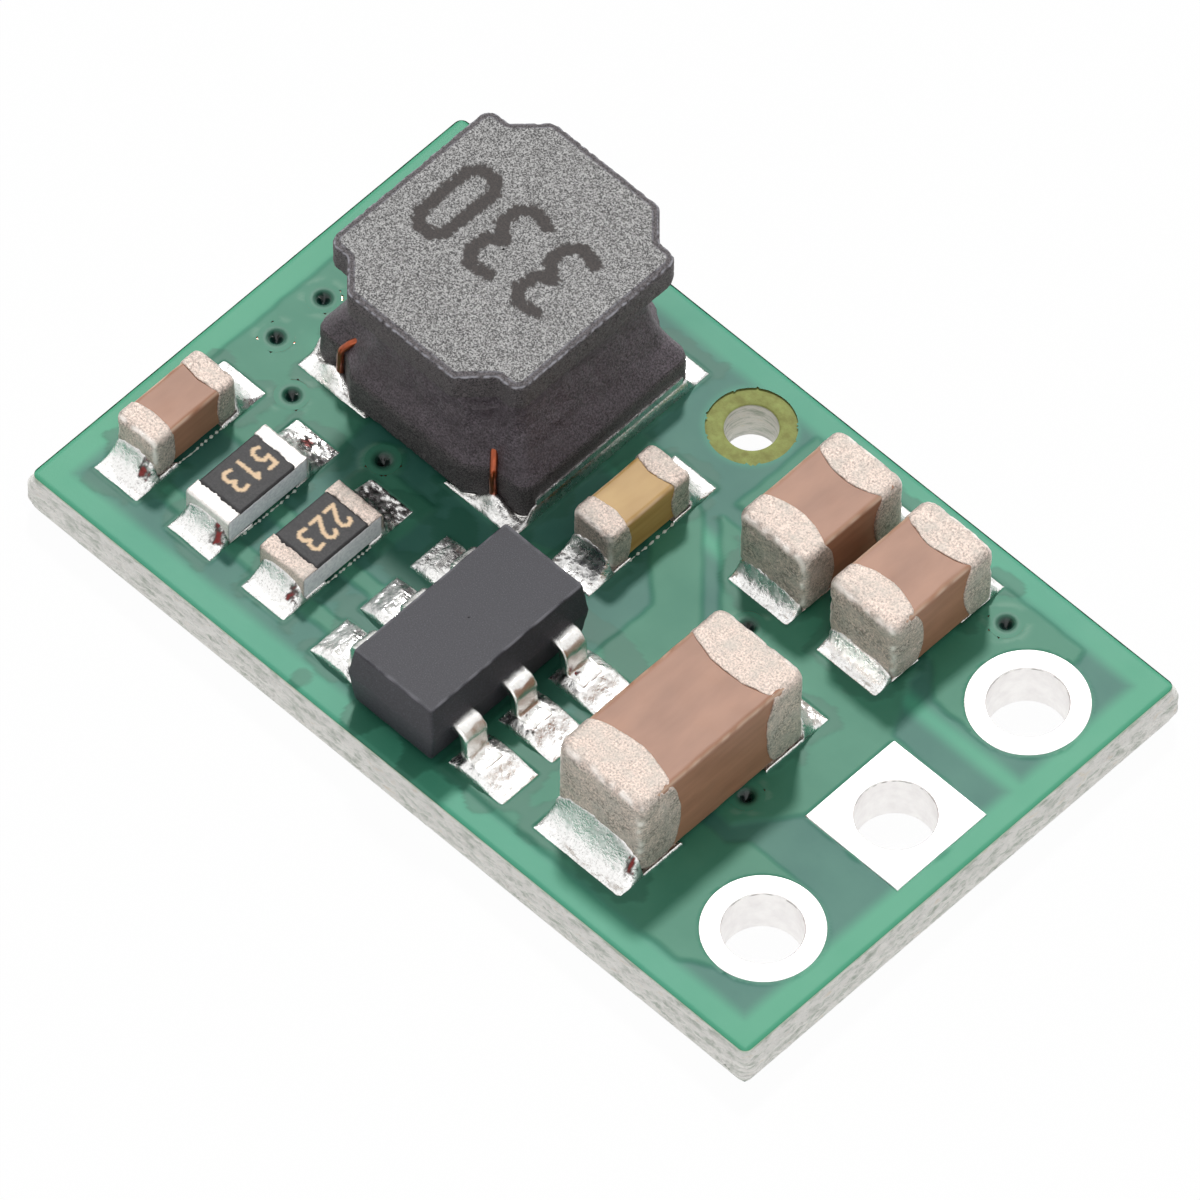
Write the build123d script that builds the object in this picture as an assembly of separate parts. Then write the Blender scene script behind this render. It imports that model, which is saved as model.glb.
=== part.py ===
from build123d import *
from dataclasses import dataclass
import math
import os

# Step-down (buck) converter module: a two-layer circuit board of 0.525 by 0.325 inch that carries a shielded
# drum inductor, a six-lead controller chip, five ceramic chip capacitors and two chip resistors, and has three
# plated holes for a 2.54 mm pin header and one plain mounting hole.
#
# Lengths are millimetres. Layout places, such as pad corners, are measured from the board's corner at the
# inductor end: x runs along the long side towards the pin holes, y across it. The finished pieces are moved so
# that the origin is the centre of the board's underside, with Z up.

# Board
inch = 25.4
board_length = 0.525 * inch
board_width = 0.325 * inch
laminate_thickness = 0.69
copper_thickness = 0.035
mask_over_copper = 0.02
mask_over_laminate = 0.03
score_bulge = 0.09
score_depth = 0.22
board_corner_cut = 0.08

# Heights of the board's layers, counted from its underside
bottom_copper_z = mask_over_copper
laminate_bottom_z = bottom_copper_z + copper_thickness
laminate_top_z = laminate_bottom_z + laminate_thickness
top_copper_z = laminate_top_z + copper_thickness
board_top_z = top_copper_z + mask_over_copper

# Pin holes, for a row of header pins that runs across the board
pin_pitch = 0.1 * inch
pin_count = 3
pin_row_inset = 1.212
pin_bore = 1.12
pin_pad = 1.71
pad_sides = 24
pin_plating = 0.04
pin_drill_sides = 16

# Plain hole, with a wider opening in the mask
plain_hole_x, plain_hole_y = 6.36, 7.33
plain_hole = 0.74
plain_hole_opening = 1.26

# Vias, covered by the mask, which dips into each one
via_drill = 0.30
via_sides = 8
via_plating = 0.025
pit_diameter = 0.23
pit_floor_diameter = 0.12
pit_depth = 0.09
via_plug_depth = 0.145

# Copper areas
copper_inset = 0.42
copper_gap = 0.25
trace_width = 0.25
trace_sides = 12
mask_overhang = 0.03

# Film of solder between a pad and the part on it
solder_film = 0.03
seat_z = board_top_z + solder_film

# Drum inductor, 4 mm size
inductor_x, inductor_y = 3.335, 5.65
inductor_height = 2.75
lower_flange_thickness = 0.64
upper_flange_thickness = 0.50
flange_corner_radius = 0.20
post_diameter = 1.70
coil_clearance = 0.03
coil_outer_diameter = 2.70
resin_neck = 0.16
resin_waist = 0.22
flange_edge_chamfer = 0.04
electrode_thickness = 0.03
electrode_length = 1.15
electrode_rise = 0.33
wire_diameter = 0.11
wire_sides = 6
wire_rise = 1.00
wire_notch_radius = 0.10
dimple_radius = 0.30
lump_sides = 8
resin_levels = (0.0, 0.25, 0.6, 1.0)
inductor_pad_length = 3.78
inductor_pad_width = 1.30
inductor_pad_span = 4.064

# Flanges seen from above: half size along x and y, then the y and x of the shoulder and the x of the slope's end
lower_flange = (1.975, 1.86, 1.61, 1.40, 1.05)
upper_flange = (1.785, 1.98, 1.55, 1.40, 0.98)

# Heights of the inductor's pieces, counted from its seat
lower_flange_bottom = electrode_thickness
lower_flange_top = lower_flange_bottom + lower_flange_thickness
upper_flange_bottom = inductor_height - upper_flange_thickness

# Controller chip, SOT-23-6
controller_pad_x, controller_pad_y = 6.50, 1.866
controller_pad_length, controller_pad_width = 1.00, 0.70
controller_pad_span = 3.58
controller_shift_x, controller_shift_y = -0.08, -0.03
controller_x, controller_y = controller_pad_x + controller_shift_x, controller_pad_y + controller_shift_y
controller_length, controller_width = 2.98, 1.60
controller_top_length, controller_top_width = 2.89, 1.44
controller_standoff = 0.08
controller_top = 1.20
lead_middle = 0.65
lead_pitch = 0.95
lead_width = 0.41
lead_thickness = 0.15
lead_span = 2.80
lead_shoulder = 1.095
lead_foot = 0.36
lead_bend = 0.09
die_length, die_width, die_thickness = 2.20, 0.90, 0.22
die_overlap = 0.20
toe_fillet, heel_fillet, bank_width = 0.16, 0.12, 0.04

# Chip parts
termination_thickness = 0.025
termination_chamfer = 0.05
ceramic_chamfer = 0.03
overcoat_thickness = 0.02


@dataclass
class Chip:
    """A two-ended part that lies along y: its size, its end bands, its two pads and its shift from them."""

    width: float
    length: float
    height: float
    band: float
    bulge: float
    fillet: float
    pad_x: float
    pad_y: float
    pad_span: float
    pad_width: float
    pad_length: float
    shift_x: float
    shift_y: float

    @property
    def x(self):
        return self.pad_x + self.shift_x

    @property
    def y(self):
        return self.pad_y + self.shift_y


small_row_y, small_pad_span, small_pad_width, small_pad_length = 1.90, 2.48, 0.80, 0.82
output_row_y, output_pad_span, output_pad_width, output_pad_length = 6.55, 2.50, 1.10, 0.85

feedback_capacitor = Chip(0.78, 1.58, 0.80, 0.33, 0.05, 0.42,
                          0.947, small_row_y, small_pad_span, small_pad_width, small_pad_length, -0.027, -0.04)
boost_capacitor = Chip(0.76, 1.57, 0.80, 0.33, 0.05, 0.40,
                       6.355, 5.03, 2.46, 0.78, small_pad_length, -0.005, 0.0)
output_capacitor_1 = Chip(1.25, 1.97, 1.22, 0.44, 0.13, 0.30,
                          8.42, output_row_y, output_pad_span, output_pad_width, output_pad_length, -0.01, -0.01)
output_capacitor_2 = Chip(1.25, 1.97, 1.22, 0.44, 0.13, 0.30,
                          10.06, output_row_y, output_pad_span, output_pad_width, output_pad_length, -0.02, 0.02)
input_capacitor = Chip(1.60, 3.16, 1.57, 0.62, 0.12, 0.62,
                       9.625, 2.605, 4.01, 1.61, 1.20, 0.0, -0.01)
feedback_resistor_1 = Chip(0.80, 1.53, 0.47, 0.23, 0.0, 0.36,
                           2.325, small_row_y, small_pad_span, small_pad_width, small_pad_length, 0.01, -0.12)
feedback_resistor_2 = Chip(0.82, 1.52, 0.47, 0.26, 0.0, 0.36,
                           3.715, small_row_y, small_pad_span, small_pad_width, small_pad_length, -0.03, -0.075)
capacitors = {
    "feedback_capacitor": feedback_capacitor,
    "boost_capacitor": boost_capacitor,
    "output_capacitor_1": output_capacitor_1,
    "output_capacitor_2": output_capacitor_2,
    "input_capacitor": input_capacitor,
}
resistors = {"feedback_resistor_1": feedback_resistor_1, "feedback_resistor_2": feedback_resistor_2}


def rectangle(x0, x1, y0, y1):
    """Flat rectangle between two corners, given in any order."""
    return Pos((x0 + x1) / 2, (y0 + y1) / 2) * Rectangle(abs(x1 - x0), abs(y1 - y0))


def area(*points):
    """Flat area inside a ring of points."""
    return make_face(Polyline(*points, close=True))


def slab(sketch, z0, z1):
    """Flat outline given thickness from height z0 to height z1."""
    return Pos(0, 0, z0) * extrude(sketch, z1 - z0)


def block(x0, x1, y0, y1, z0, z1):
    """Rectangular block between two corners."""
    return slab(rectangle(x0, x1, y0, y1), z0, z1)


def union(shapes):
    """One shape made of several that touch or overlap."""
    first, *rest = shapes
    for shape in rest:
        first = first + shape
    return first


def moved_to_origin(shape):
    """The shape moved from layout places to the finished part's frame."""
    return Pos(-board_length / 2, -board_width / 2, 0) * shape


# Places that the board's pads and holes give

pin_row_x = board_length - pin_row_inset
pin_rows = [board_width / 2 + (k - (pin_count - 1) / 2) * pin_pitch for k in range(pin_count)]
ground_row = pin_count // 2
lead_rows = [controller_pad_y + (k - 1) * lead_pitch for k in range(3)]
pad_high_x = controller_pad_x + controller_pad_span / 2
pad_low_x = controller_pad_x - controller_pad_span / 2
far_x, far_y = board_length - copper_inset, board_width - copper_inset
output_vias = [(0.79, 4.79), (0.79, 3.89), (1.61, 3.36), (11.03, 7.39)]
ground_vias = [(3.23, 3.46), (8.61, 4.93), (10.49, 2.96)]
via_places = output_vias + ground_vias


def chip_pad(chip, side):
    """Pad of a chip part at its low-y end (side -1) or high-y end (side 1)."""
    outer = chip.pad_y + side * chip.pad_span / 2
    half = chip.pad_width / 2
    return rectangle(chip.pad_x - half, chip.pad_x + half, outer - side * chip.pad_length, outer)


def controller_pad(side, row):
    """Pad of the controller on its low-x side (side -1) or high-x side (side 1)."""
    outer = controller_pad_x + side * controller_pad_span / 2
    half = controller_pad_width / 2
    return rectangle(outer - side * controller_pad_length, outer, lead_rows[row] - half, lead_rows[row] + half)


def inductor_pad(side):
    """Pad of the inductor on its low-x side (side -1) or high-x side (side 1)."""
    outer = inductor_x + side * inductor_pad_span / 2
    half = inductor_pad_length / 2
    return rectangle(outer, outer - side * inductor_pad_width, inductor_y - half, inductor_y + half)


def pin_pad_outline(row):
    """Outline of a pin hole's pad: square for the ground pin, round for the others."""
    shape = Rectangle(pin_pad, pin_pad) if row == ground_row else RegularPolygon(pin_pad / 2, pad_sides)
    return Pos(pin_row_x, pin_rows[row]) * shape


def plain_hole_ring():
    """Outline of the opening round the plain hole, in the mask of both faces and the copper of the underside."""
    return Pos(plain_hole_x, plain_hole_y) * RegularPolygon(plain_hole_opening / 2, pad_sides)


def part_pads():
    """All the pads that parts are soldered to, one flat area for each."""
    chips = [*capacitors.values(), *resistors.values()]
    pads = [chip_pad(chip, side) for chip in chips for side in (-1, 1)]
    pads += [controller_pad(side, row) for side in (-1, 1) for row in range(3)]
    return pads + [inductor_pad(side) for side in (-1, 1)]


def route(*points):
    """Trace of the board's trace width along a run of points."""
    pieces = []
    for (x0, y0), (x1, y1) in zip(points, points[1:]):
        turn = math.degrees(math.atan2(y1 - y0, x1 - x0))
        run = math.hypot(x1 - x0, y1 - y0)
        pieces.append(Pos((x0 + x1) / 2, (y0 + y1) / 2) * Rot(0, 0, turn) * Rectangle(run, trace_width))
    pieces += [Pos(x, y) * RegularPolygon(trace_width / 2, trace_sides) for x, y in points[1:-1]]
    return union(pieces)


# Copper

def left_output_copper():
    """Output area beside and under the inductor's low-x end, with the upper pads of the parts next to it."""
    right = inductor_x - inductor_pad_span / 2 + inductor_pad_width
    low = small_row_y + small_pad_span / 2 - small_pad_length
    outline = area((copper_inset, low), (feedback_resistor_1.pad_x + small_pad_width / 2, low),
                   (feedback_resistor_1.pad_x + small_pad_width / 2, small_row_y + small_pad_span / 2),
                   (right, inductor_y - inductor_pad_length / 2), (right, far_y), (copper_inset, far_y))
    return outline


def divider_ground_copper():
    """Patch round the upper pad of the second resistor, with its ground via."""
    x, y = ground_vias[0]
    high = feedback_resistor_2.pad_y + small_pad_span / 2
    patch = rectangle(x - 0.13, feedback_resistor_2.pad_x + 0.56, high - small_pad_length, high + copper_gap)
    return patch + Pos(x, y) * RegularPolygon(via_drill / 2 + 0.14, trace_sides)


def feedback_copper():
    """Feedback net: the small parts' lower pads and a trace to the controller."""
    row = small_row_y - small_pad_span / 2 + 0.4
    trace = route((feedback_capacitor.pad_x, row), (pad_low_x + 0.2, row))
    pads = [chip_pad(chip, -1) for chip in (feedback_capacitor, feedback_resistor_1, feedback_resistor_2)]
    return union([trace, *pads, controller_pad(-1, 0)])


def controller_ground_copper():
    """Controller's ground lead with its trace under the second resistor."""
    trace = route((feedback_resistor_1.pad_x, lead_rows[1]), (pad_low_x + 0.2, lead_rows[1]))
    return trace + controller_pad(-1, 1)


def boost_copper():
    """Boost capacitor's lower pad with its trace to the controller."""
    end_y = boost_capacitor.pad_y - boost_capacitor.pad_span / 2 + 0.2
    x = pad_low_x + controller_pad_length / 2
    trace = route((boost_capacitor.pad_x - 0.2, end_y), (x + 0.5, end_y - 0.2), (x, lead_rows[2]))
    return union([trace, chip_pad(boost_capacitor, -1), controller_pad(-1, 2)])


def switch_copper():
    """Switching node: inductor, boost capacitor and the controller's lead, joined by a broad band."""
    high = boost_capacitor.pad_y + boost_capacitor.pad_span / 2
    pad_right = boost_capacitor.pad_x + boost_capacitor.pad_width / 2
    link = rectangle(inductor_x + inductor_pad_span / 2, boost_capacitor.pad_x, high - 0.69, high - 0.06)
    band = area((pad_right - 0.15, high - 0.28), (pad_right + 0.11, high - 0.39), (pad_high_x, 4.37),
                (pad_high_x, lead_rows[2]), (pad_high_x - 0.84, lead_rows[2]), (pad_high_x - 0.84, 4.30),
                (pad_right, 4.97), (pad_right - 0.15, 5.06))
    return union([inductor_pad(1), link, chip_pad(boost_capacitor, 1), band, controller_pad(1, 2)])


def ground_copper():
    """Ground area round the capacitors' ground pads, up to the square pin pad."""
    left, low = pad_high_x + copper_gap, lead_rows[1] + 0.63
    high = output_row_y - output_pad_span / 2 + output_pad_length - 0.15
    pin_x, pin_y = pin_row_x - pin_pad / 2, pin_rows[ground_row]
    return area((left, low), (10.65, low), (pin_x, pin_y - pin_pad / 2 + 0.02), (pin_x, pin_y + pin_pad / 2),
                (11.20, pin_y + pin_pad / 2 + 0.03), (10.72, high - 0.15), (10.70, high), (7.12, high),
                (7.12, high - 0.05), (left, 4.50))


def input_copper():
    """Input area round the controller's input leads and the input capacitor, up to its pin pad."""
    low, high = 0.45, lead_rows[1] + 0.36
    pin_y = pin_rows[0]
    return area((pad_high_x - controller_pad_length - 0.08, low), (pin_row_x - 0.45, low),
                (pin_row_x, pin_y - pin_pad / 2 + 0.03), (pin_row_x, pin_y + pin_pad / 2),
                (11.05, pin_y + pin_pad / 2 + 0.02), (10.80, high),
                (pad_high_x - controller_pad_length - 0.08, high))


def output_copper():
    """Output area round the output capacitors' upper pads, up to its pin pad."""
    low = output_row_y - output_pad_span / 2 + output_pad_length + 0.12
    pin_y = pin_rows[-1]
    pin_low, pin_high, high = pin_y - pin_pad / 2, pin_y + pin_pad / 2, far_y - 0.035
    return area((7.12, low), (10.74, low), (11.20, pin_low + 0.01), (pin_row_x, pin_low),
                (pin_row_x, pin_high + 0.1), (pin_row_x - 0.05, high), (7.12, high))


def top_copper_areas():
    """The separate islands of copper on the top face. Some run under the pin holes' own pads."""
    return [left_output_copper(), divider_ground_copper(), feedback_copper(), controller_ground_copper(),
            boost_copper(), switch_copper(), ground_copper(), input_copper(), output_copper()]


def bottom_copper_areas():
    """Output area and ground plane of the underside, clear of the holes of other nets."""
    split_y = output_row_y - 0.85
    output = area((copper_inset, 3.05), (2.00, 3.05), (2.00, split_y), (far_x, split_y),
                  (far_x, far_y), (copper_inset, far_y))
    ground = area((copper_inset, copper_inset), (far_x, copper_inset), (far_x, split_y - copper_gap),
                  (2.00 + copper_gap, split_y - copper_gap), (2.00 + copper_gap, 3.05 - copper_gap),
                  (copper_inset, 3.05 - copper_gap))
    clearance = Pos(pin_row_x, pin_rows[0]) * RegularPolygon(pin_pad / 2 + copper_gap, pad_sides)
    return [output - plain_hole_ring(), ground - clearance]


# Board

def pit(x, y):
    """Hollow that the mask leaves over a via: a shallow cone of few sides, sunk into the plug of the bore."""
    floor = Pos(x, y, board_top_z - pit_depth) * RegularPolygon(pit_floor_diameter / 2, via_sides)
    rim = Pos(x, y, board_top_z) * RegularPolygon(pit_diameter / 2, via_sides)
    return loft([floor, rim], ruled=True)


def via_rod(x, y, diameter, z0, z1):
    """Upright bar of few sides, for the outlines of a via."""
    return slab(Pos(x, y) * RegularPolygon(diameter / 2, via_sides), z0, z1)


def rod(x, y, diameter, z0, z1):
    """Upright round bar."""
    return Pos(x, y, (z0 + z1) / 2) * Cylinder(diameter / 2, z1 - z0)


def pin_drill(row):
    """Hole through the laminate that a pin hole's plating fills. It is never seen, so it has few sides."""
    outline = RegularPolygon(pin_bore / 2 + pin_plating, pin_drill_sides, major_radius=False)
    return slab(Pos(pin_row_x, pin_rows[row]) * outline, 0, board_top_z)


def board_outline(extra=0.0):
    """Board seen from above, with its corners slightly cut, and made larger all round by an extra width."""
    sheet = Rectangle(board_length + 2 * extra, board_width + 2 * extra)
    return Pos(board_length / 2, board_width / 2) * chamfer(sheet.vertices(), board_corner_cut + extra / 2)


def laminate():
    """Glass-epoxy sheet, broken out of its panel along V grooves, so that its edges stand out in the middle."""
    outline = board_outline(score_bulge)
    slope = math.degrees(math.atan2(score_bulge, score_depth))
    web = slab(outline, laminate_bottom_z + score_depth, laminate_top_z - score_depth)
    upper = Pos(0, 0, laminate_top_z - score_depth) * extrude(outline, score_depth, taper=slope)
    lower = Pos(0, 0, laminate_bottom_z + score_depth) * extrude(outline, -score_depth, taper=slope)
    sheet = union([web, upper, lower])
    drills = [via_rod(x, y, via_drill, 0, board_top_z) for x, y in via_places]
    drills += [pin_drill(row) for row in range(pin_count)]
    drills.append(rod(plain_hole_x, plain_hole_y, plain_hole, 0, board_top_z))
    return sheet - drills


def copper_layer(areas, z0, z1):
    """Copper islands of one face, cut by the vias and the pin holes' pads."""
    drills = [via_rod(x, y, via_drill, 0, board_top_z) for x, y in via_places]
    drills += [slab(pin_pad_outline(row), 0, board_top_z) for row in range(pin_count)]
    return [slab(sketch, z0, z1) - drills for sketch in areas]


def mask_openings():
    """Pads of the pins and the opening round the plain hole."""
    openings = [pin_pad_outline(row) for row in range(pin_count)]
    return openings + [plain_hole_ring()]


def mask_top():
    """Solder mask of the top face: stepped up over the copper, open at the pads and dipped into the vias."""
    islands = top_copper_areas()
    sheet = slab(board_outline(), laminate_top_z, laminate_top_z + mask_over_laminate)
    for island in islands:
        raised = slab(offset(island, mask_overhang, kind=Kind.INTERSECTION), laminate_top_z, board_top_z)
        sheet = sheet + (raised & slab(board_outline(), laminate_top_z, board_top_z))
    for island in islands:
        sheet = sheet - slab(island, laminate_top_z, top_copper_z)
    for opening in part_pads() + mask_openings():
        sheet = sheet - slab(opening, laminate_top_z, board_top_z)
    bore = via_drill - 2 * via_plating
    for x, y in via_places:
        plug = via_rod(x, y, bore, board_top_z - via_plug_depth, board_top_z - mask_over_copper)
        sheet = sheet + plug - pit(x, y)
    return sheet


def mask_bottom():
    """Solder mask of the underside, flat and open at the pin pads and the plain hole."""
    sheet = slab(board_outline(), 0, laminate_bottom_z)
    for island in bottom_copper_areas():
        sheet = sheet - slab(island, bottom_copper_z, laminate_bottom_z)
    for opening in mask_openings():
        sheet = sheet - slab(opening, 0, laminate_bottom_z)
    return sheet


def pin_hole_plating(row):
    """Plated barrel of a pin hole, in one piece with its pads on both faces."""
    x, y = pin_row_x, pin_rows[row]
    pad = pin_pad_outline(row)
    metal = pin_drill(row) + slab(pad, 0, laminate_bottom_z) + slab(pad, laminate_top_z, board_top_z)
    return metal - rod(x, y, pin_bore, -1, board_top_z + 1)


def via_barrels():
    """Plated tubes that join the two copper layers."""
    tubes = []
    for x, y in via_places:
        tube = via_rod(x, y, via_drill, bottom_copper_z, top_copper_z)
        tubes.append(tube - via_rod(x, y, via_drill - 2 * via_plating, 0, board_top_z))
    return tubes


# Inductor

def flange_outline(half_x, half_y, shoulder_y, shoulder_x, end_x, shrink=0.0):
    """Flange seen from above: a square with each corner cut back to a shoulder and a slope."""
    hx, hy = half_x - shrink, half_y - shrink
    sy, sx, ex = shoulder_y - shrink, shoulder_x - shrink, end_x - shrink * 0.5
    corner = [(hx, sy), (sx, sy), (ex, hy)]
    ring = corner + [(-x, y) for x, y in reversed(corner)]
    ring += [(-x, -y) for x, y in corner] + [(x, -y) for x, y in reversed(corner)]
    face = area(*ring)
    outer = [v for v in face.vertices() if abs(abs(v.X) - hx) < 1e-6]
    return fillet(outer, flange_corner_radius)


def wire_notch(side):
    """Place of the notch that a wire end runs down, at the low-y corners of the lower flange."""
    return side * (lower_flange[3] + 0.04), -(lower_flange[2] + 0.07)


def at_inductor(shape):
    """Shape moved from the inductor's own axis and seat to its place on the board."""
    return Pos(inductor_x, inductor_y, seat_z) * shape


def wire_paths():
    """Line of each wire end: out of the coil, through the resin and down the notch in the lower flange."""
    lines = []
    for side in (-1, 1):
        start = coil_outer_diameter / 2 - wire_diameter / 4
        notch_x, notch_y = wire_notch(side)
        reach = math.hypot(notch_x, notch_y)
        lines.append(FilletPolyline(
            (start * notch_x / reach, start * notch_y / reach, wire_rise),
            (notch_x, notch_y, wire_rise - 0.05),
            (notch_x + side * 0.01, notch_y - 0.01, 0.06), radius=2.0 * wire_diameter))
    return lines


def wire_ends():
    """The two ends of the winding wire."""
    ends = []
    for path in wire_paths():
        section = Plane(origin=path @ 0, z_dir=path % 0) * RegularPolygon(wire_diameter / 2, wire_sides)
        ends.append(sweep(section, path=path) - coil())
    return ends


def coil():
    """Winding of enamelled wire round the post, as the ring that its turns fill."""
    inner = post_diameter / 2 + coil_clearance
    ring = Circle(coil_outer_diameter / 2) - Circle(inner)
    return slab(ring, lower_flange_top, upper_flange_bottom)


def core():
    """Ferrite drum: two flanges on a post, with a notch for each wire end in the lower one."""
    lower = slab(flange_outline(*lower_flange), lower_flange_bottom, lower_flange_top)
    upper = slab(flange_outline(*upper_flange), upper_flange_bottom, inductor_height)
    upper = chamfer(upper.faces().sort_by(Axis.Z)[-1].edges(), flange_edge_chamfer)
    post = rod(0, 0, post_diameter, lower_flange_top, upper_flange_bottom)
    drum = union([lower, post, upper])
    return drum - [rod(*wire_notch(side), 2 * wire_notch_radius, 0, lower_flange_top) for side in (-1, 1)]


def resin_section(share):
    """Outline of the resin at a share of the way up from the lower flange to the upper one."""
    outline = [low + share * (high - low) for low, high in zip(lower_flange, upper_flange)]
    sag = 4 * share * (1 - share)
    inset = 0.02 + (resin_neck - 0.02) * share + resin_waist * sag
    return Pos(0, 0, lower_flange_top + share * (upper_flange_bottom - lower_flange_top)) * flange_outline(
        *outline, shrink=inset)


def resin():
    """Magnetic resin between the flanges, drawn in at the waist, with a sunken spot under one flange corner."""
    body = loft([resin_section(share) for share in resin_levels], ruled=True)
    body = body - rod(0, 0, coil_outer_diameter, lower_flange_top, upper_flange_bottom)
    dimple_x, dimple_y = upper_flange[4] + 0.17, -(upper_flange[2] + 0.08)
    dimple = Pos(dimple_x, dimple_y, upper_flange_bottom) * Sphere(dimple_radius)
    return body - dimple - wire_ends()


def electrode(side):
    """Plated end of the lower flange: a strip under it that turns up its side."""
    half_x, shoulder_y = lower_flange[0], lower_flange[2]
    reach = shoulder_y - flange_corner_radius
    inner = side * (half_x - electrode_length)
    under = flange_outline(*lower_flange) & rectangle(inner, side * half_x, -half_x, half_x)
    strip = slab(under, 0, electrode_thickness)
    wall = block(side * half_x, side * (half_x + electrode_thickness), -reach, reach, 0, electrode_rise)
    return strip + wall - [rod(*wire_notch(s), 2 * wire_notch_radius, -1, lower_flange_top) for s in (-1, 1)]


# Chip parts

def at_chip(chip, shape):
    """Shape moved from a chip part's own middle and seat to its place on the board."""
    return Pos(chip.x, chip.y, seat_z) * shape


def ceramic(chip):
    """Fired ceramic block of a capacitor, with its long edges broken."""
    t = termination_thickness
    solid = Pos(0, 0, chip.height / 2) * Box(chip.width - 2 * t, chip.length - 2 * t, chip.height - 2 * t)
    return chamfer(solid.edges().filter_by(Axis.Y), ceramic_chamfer)


def band_region(chip, side):
    """Space of one end band. Its edge bows towards the middle of each face."""
    inner = chip.length / 2 - chip.band
    outer = chip.length
    faces = []
    for half in (chip.width / 2, chip.height / 2):
        wide = half + 0.01
        bow = ThreePointArc((wide, side * inner), (0, side * (inner - chip.bulge)), (-wide, side * inner))
        back = Polyline((-wide, side * inner), (-wide, side * outer), (wide, side * outer), (wide, side * inner))
        faces.append(make_face(Curve() + [bow, back]))
    over = slab(faces[0], -chip.height, 2 * chip.height)
    across = Pos(0, 0, chip.height / 2) * Rot(0, 90, 0) * slab(faces[1], -chip.width, chip.width)
    return over + across


def capacitor_end(chip, side):
    """Plated end cap of a capacitor, wrapped over the ceramic block."""
    solid = Pos(0, 0, chip.height / 2) * Box(chip.width, chip.length, chip.height)
    envelope = chamfer(solid.edges(), termination_chamfer)
    return (envelope & band_region(chip, side)) - ceramic(chip)


def resistor_substrate(chip):
    """Alumina block of a resistor."""
    t = termination_thickness
    half, reach = chip.width / 2, chip.length / 2 - t
    return block(-half, half, -reach, reach, t, chip.height - t)


def resistor_overcoat(chip):
    """Dark protective layer over the resistive film, between the two end bands."""
    t = termination_thickness
    reach = chip.length / 2 - chip.band
    top = chip.height - t
    half = chip.width / 2 - 0.01
    coat = block(-half, half, -reach, reach, top, top + t + overcoat_thickness)
    rims = coat.faces().sort_by(Axis.Z)[-1].edges().filter_by(Axis.Y)
    return fillet(rims, overcoat_thickness)


def resistor_end(chip, side):
    """End of a resistor: a bent strip of plating over the top, the end face and the underside."""
    t, half = termination_thickness, chip.width / 2
    end, inner = side * chip.length / 2, side * (chip.length / 2 - chip.band)
    face = block(-half, half, end - side * t, end, 0, chip.height)
    top = block(-half, half, inner, end - side * t, chip.height - t, chip.height)
    under = block(-half, half, inner, end - side * t, 0, t)
    return union([face, top, under])


def end_solder(chip, side):
    """Solder of one end: the coat on the pad, the film under the part and the hollow fillet up its end face."""
    pad = chip_pad(chip, side)
    outer = chip.pad_y + side * chip.pad_span / 2
    face = chip.y + side * chip.length / 2
    inside = face - side * 0.8 * chip.band
    half_low, half_high = chip.pad_width / 2, chip.width / 2 - termination_chamfer
    top = seat_z + chip.fillet
    coat = slab(pad, top_copper_z, board_top_z)
    under = rectangle(chip.x - chip.width / 2, chip.x + chip.width / 2, inside, face)
    film = slab(pad & under, board_top_z, seat_z)
    sag = ThreePointArc((0, outer, board_top_z),
                        (0, face + 0.30 * (outer - face), board_top_z + 0.30 * (top - board_top_z)), (0, face, top))
    back = Polyline((0, face, top), (0, face, board_top_z), (0, outer, board_top_z))
    hollow = extrude(make_face(Curve() + [sag, back]), 2 * chip.pad_width, dir=(1, 0, 0))
    wedge = Pos(chip.x - chip.pad_width, 0, 0) * hollow
    flank = Plane.XZ * area((chip.pad_x - half_low, board_top_z), (chip.pad_x + half_low, board_top_z),
                            (chip.x + half_high, top), (chip.x - half_high, top))
    wedge = wedge & (Pos(0, board_width * 2, 0) * extrude(flank, 4 * board_width))
    return union([coat, film, wedge])


# Controller

def at_controller(shape):
    """Shape moved from the controller's own middle to its place, with height counted from the board's top."""
    return Pos(controller_x, controller_y, board_top_z) * shape


def lead(side, row):
    """Gull-wing lead: flat out of the body, bent down, and bent out again into a foot."""
    y = (row - 1) * lead_pitch
    foot_z = solder_film + lead_thickness / 2
    inner = side * (die_width / 2 - die_overlap)
    path = FilletPolyline(
        (inner, y, lead_middle), (side * (lead_shoulder - lead_thickness / 2), y, lead_middle),
        (side * (lead_span / 2 - lead_foot), y, foot_z), (side * lead_span / 2, y, foot_z),
        radius=lead_bend + lead_thickness / 2)
    section = Plane(origin=path @ 0, z_dir=path % 0, x_dir=(0, 1, 0)) * Rectangle(lead_width, lead_thickness)
    return sweep(section, path=path)


def die():
    """Silicon chip, face down on the inner ends of the leads."""
    low = lead_middle + lead_thickness / 2
    return block(-die_width / 2, die_width / 2, -die_length / 2, die_length / 2, low, low + die_thickness)


def controller_body():
    """Moulded body, widest where the two halves of its mould met."""
    middle = Pos(0, 0, lead_middle) * Rectangle(controller_width, controller_length)
    ends = [Pos(0, 0, z) * Rectangle(controller_top_width, controller_top_length)
            for z in (controller_standoff, controller_top)]
    body = loft([ends[0], middle], ruled=True) + loft([middle, ends[1]], ruled=True)
    leads = [lead(side, row) for side in (-1, 1) for row in range(3)]
    return body - leads - die()


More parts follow.
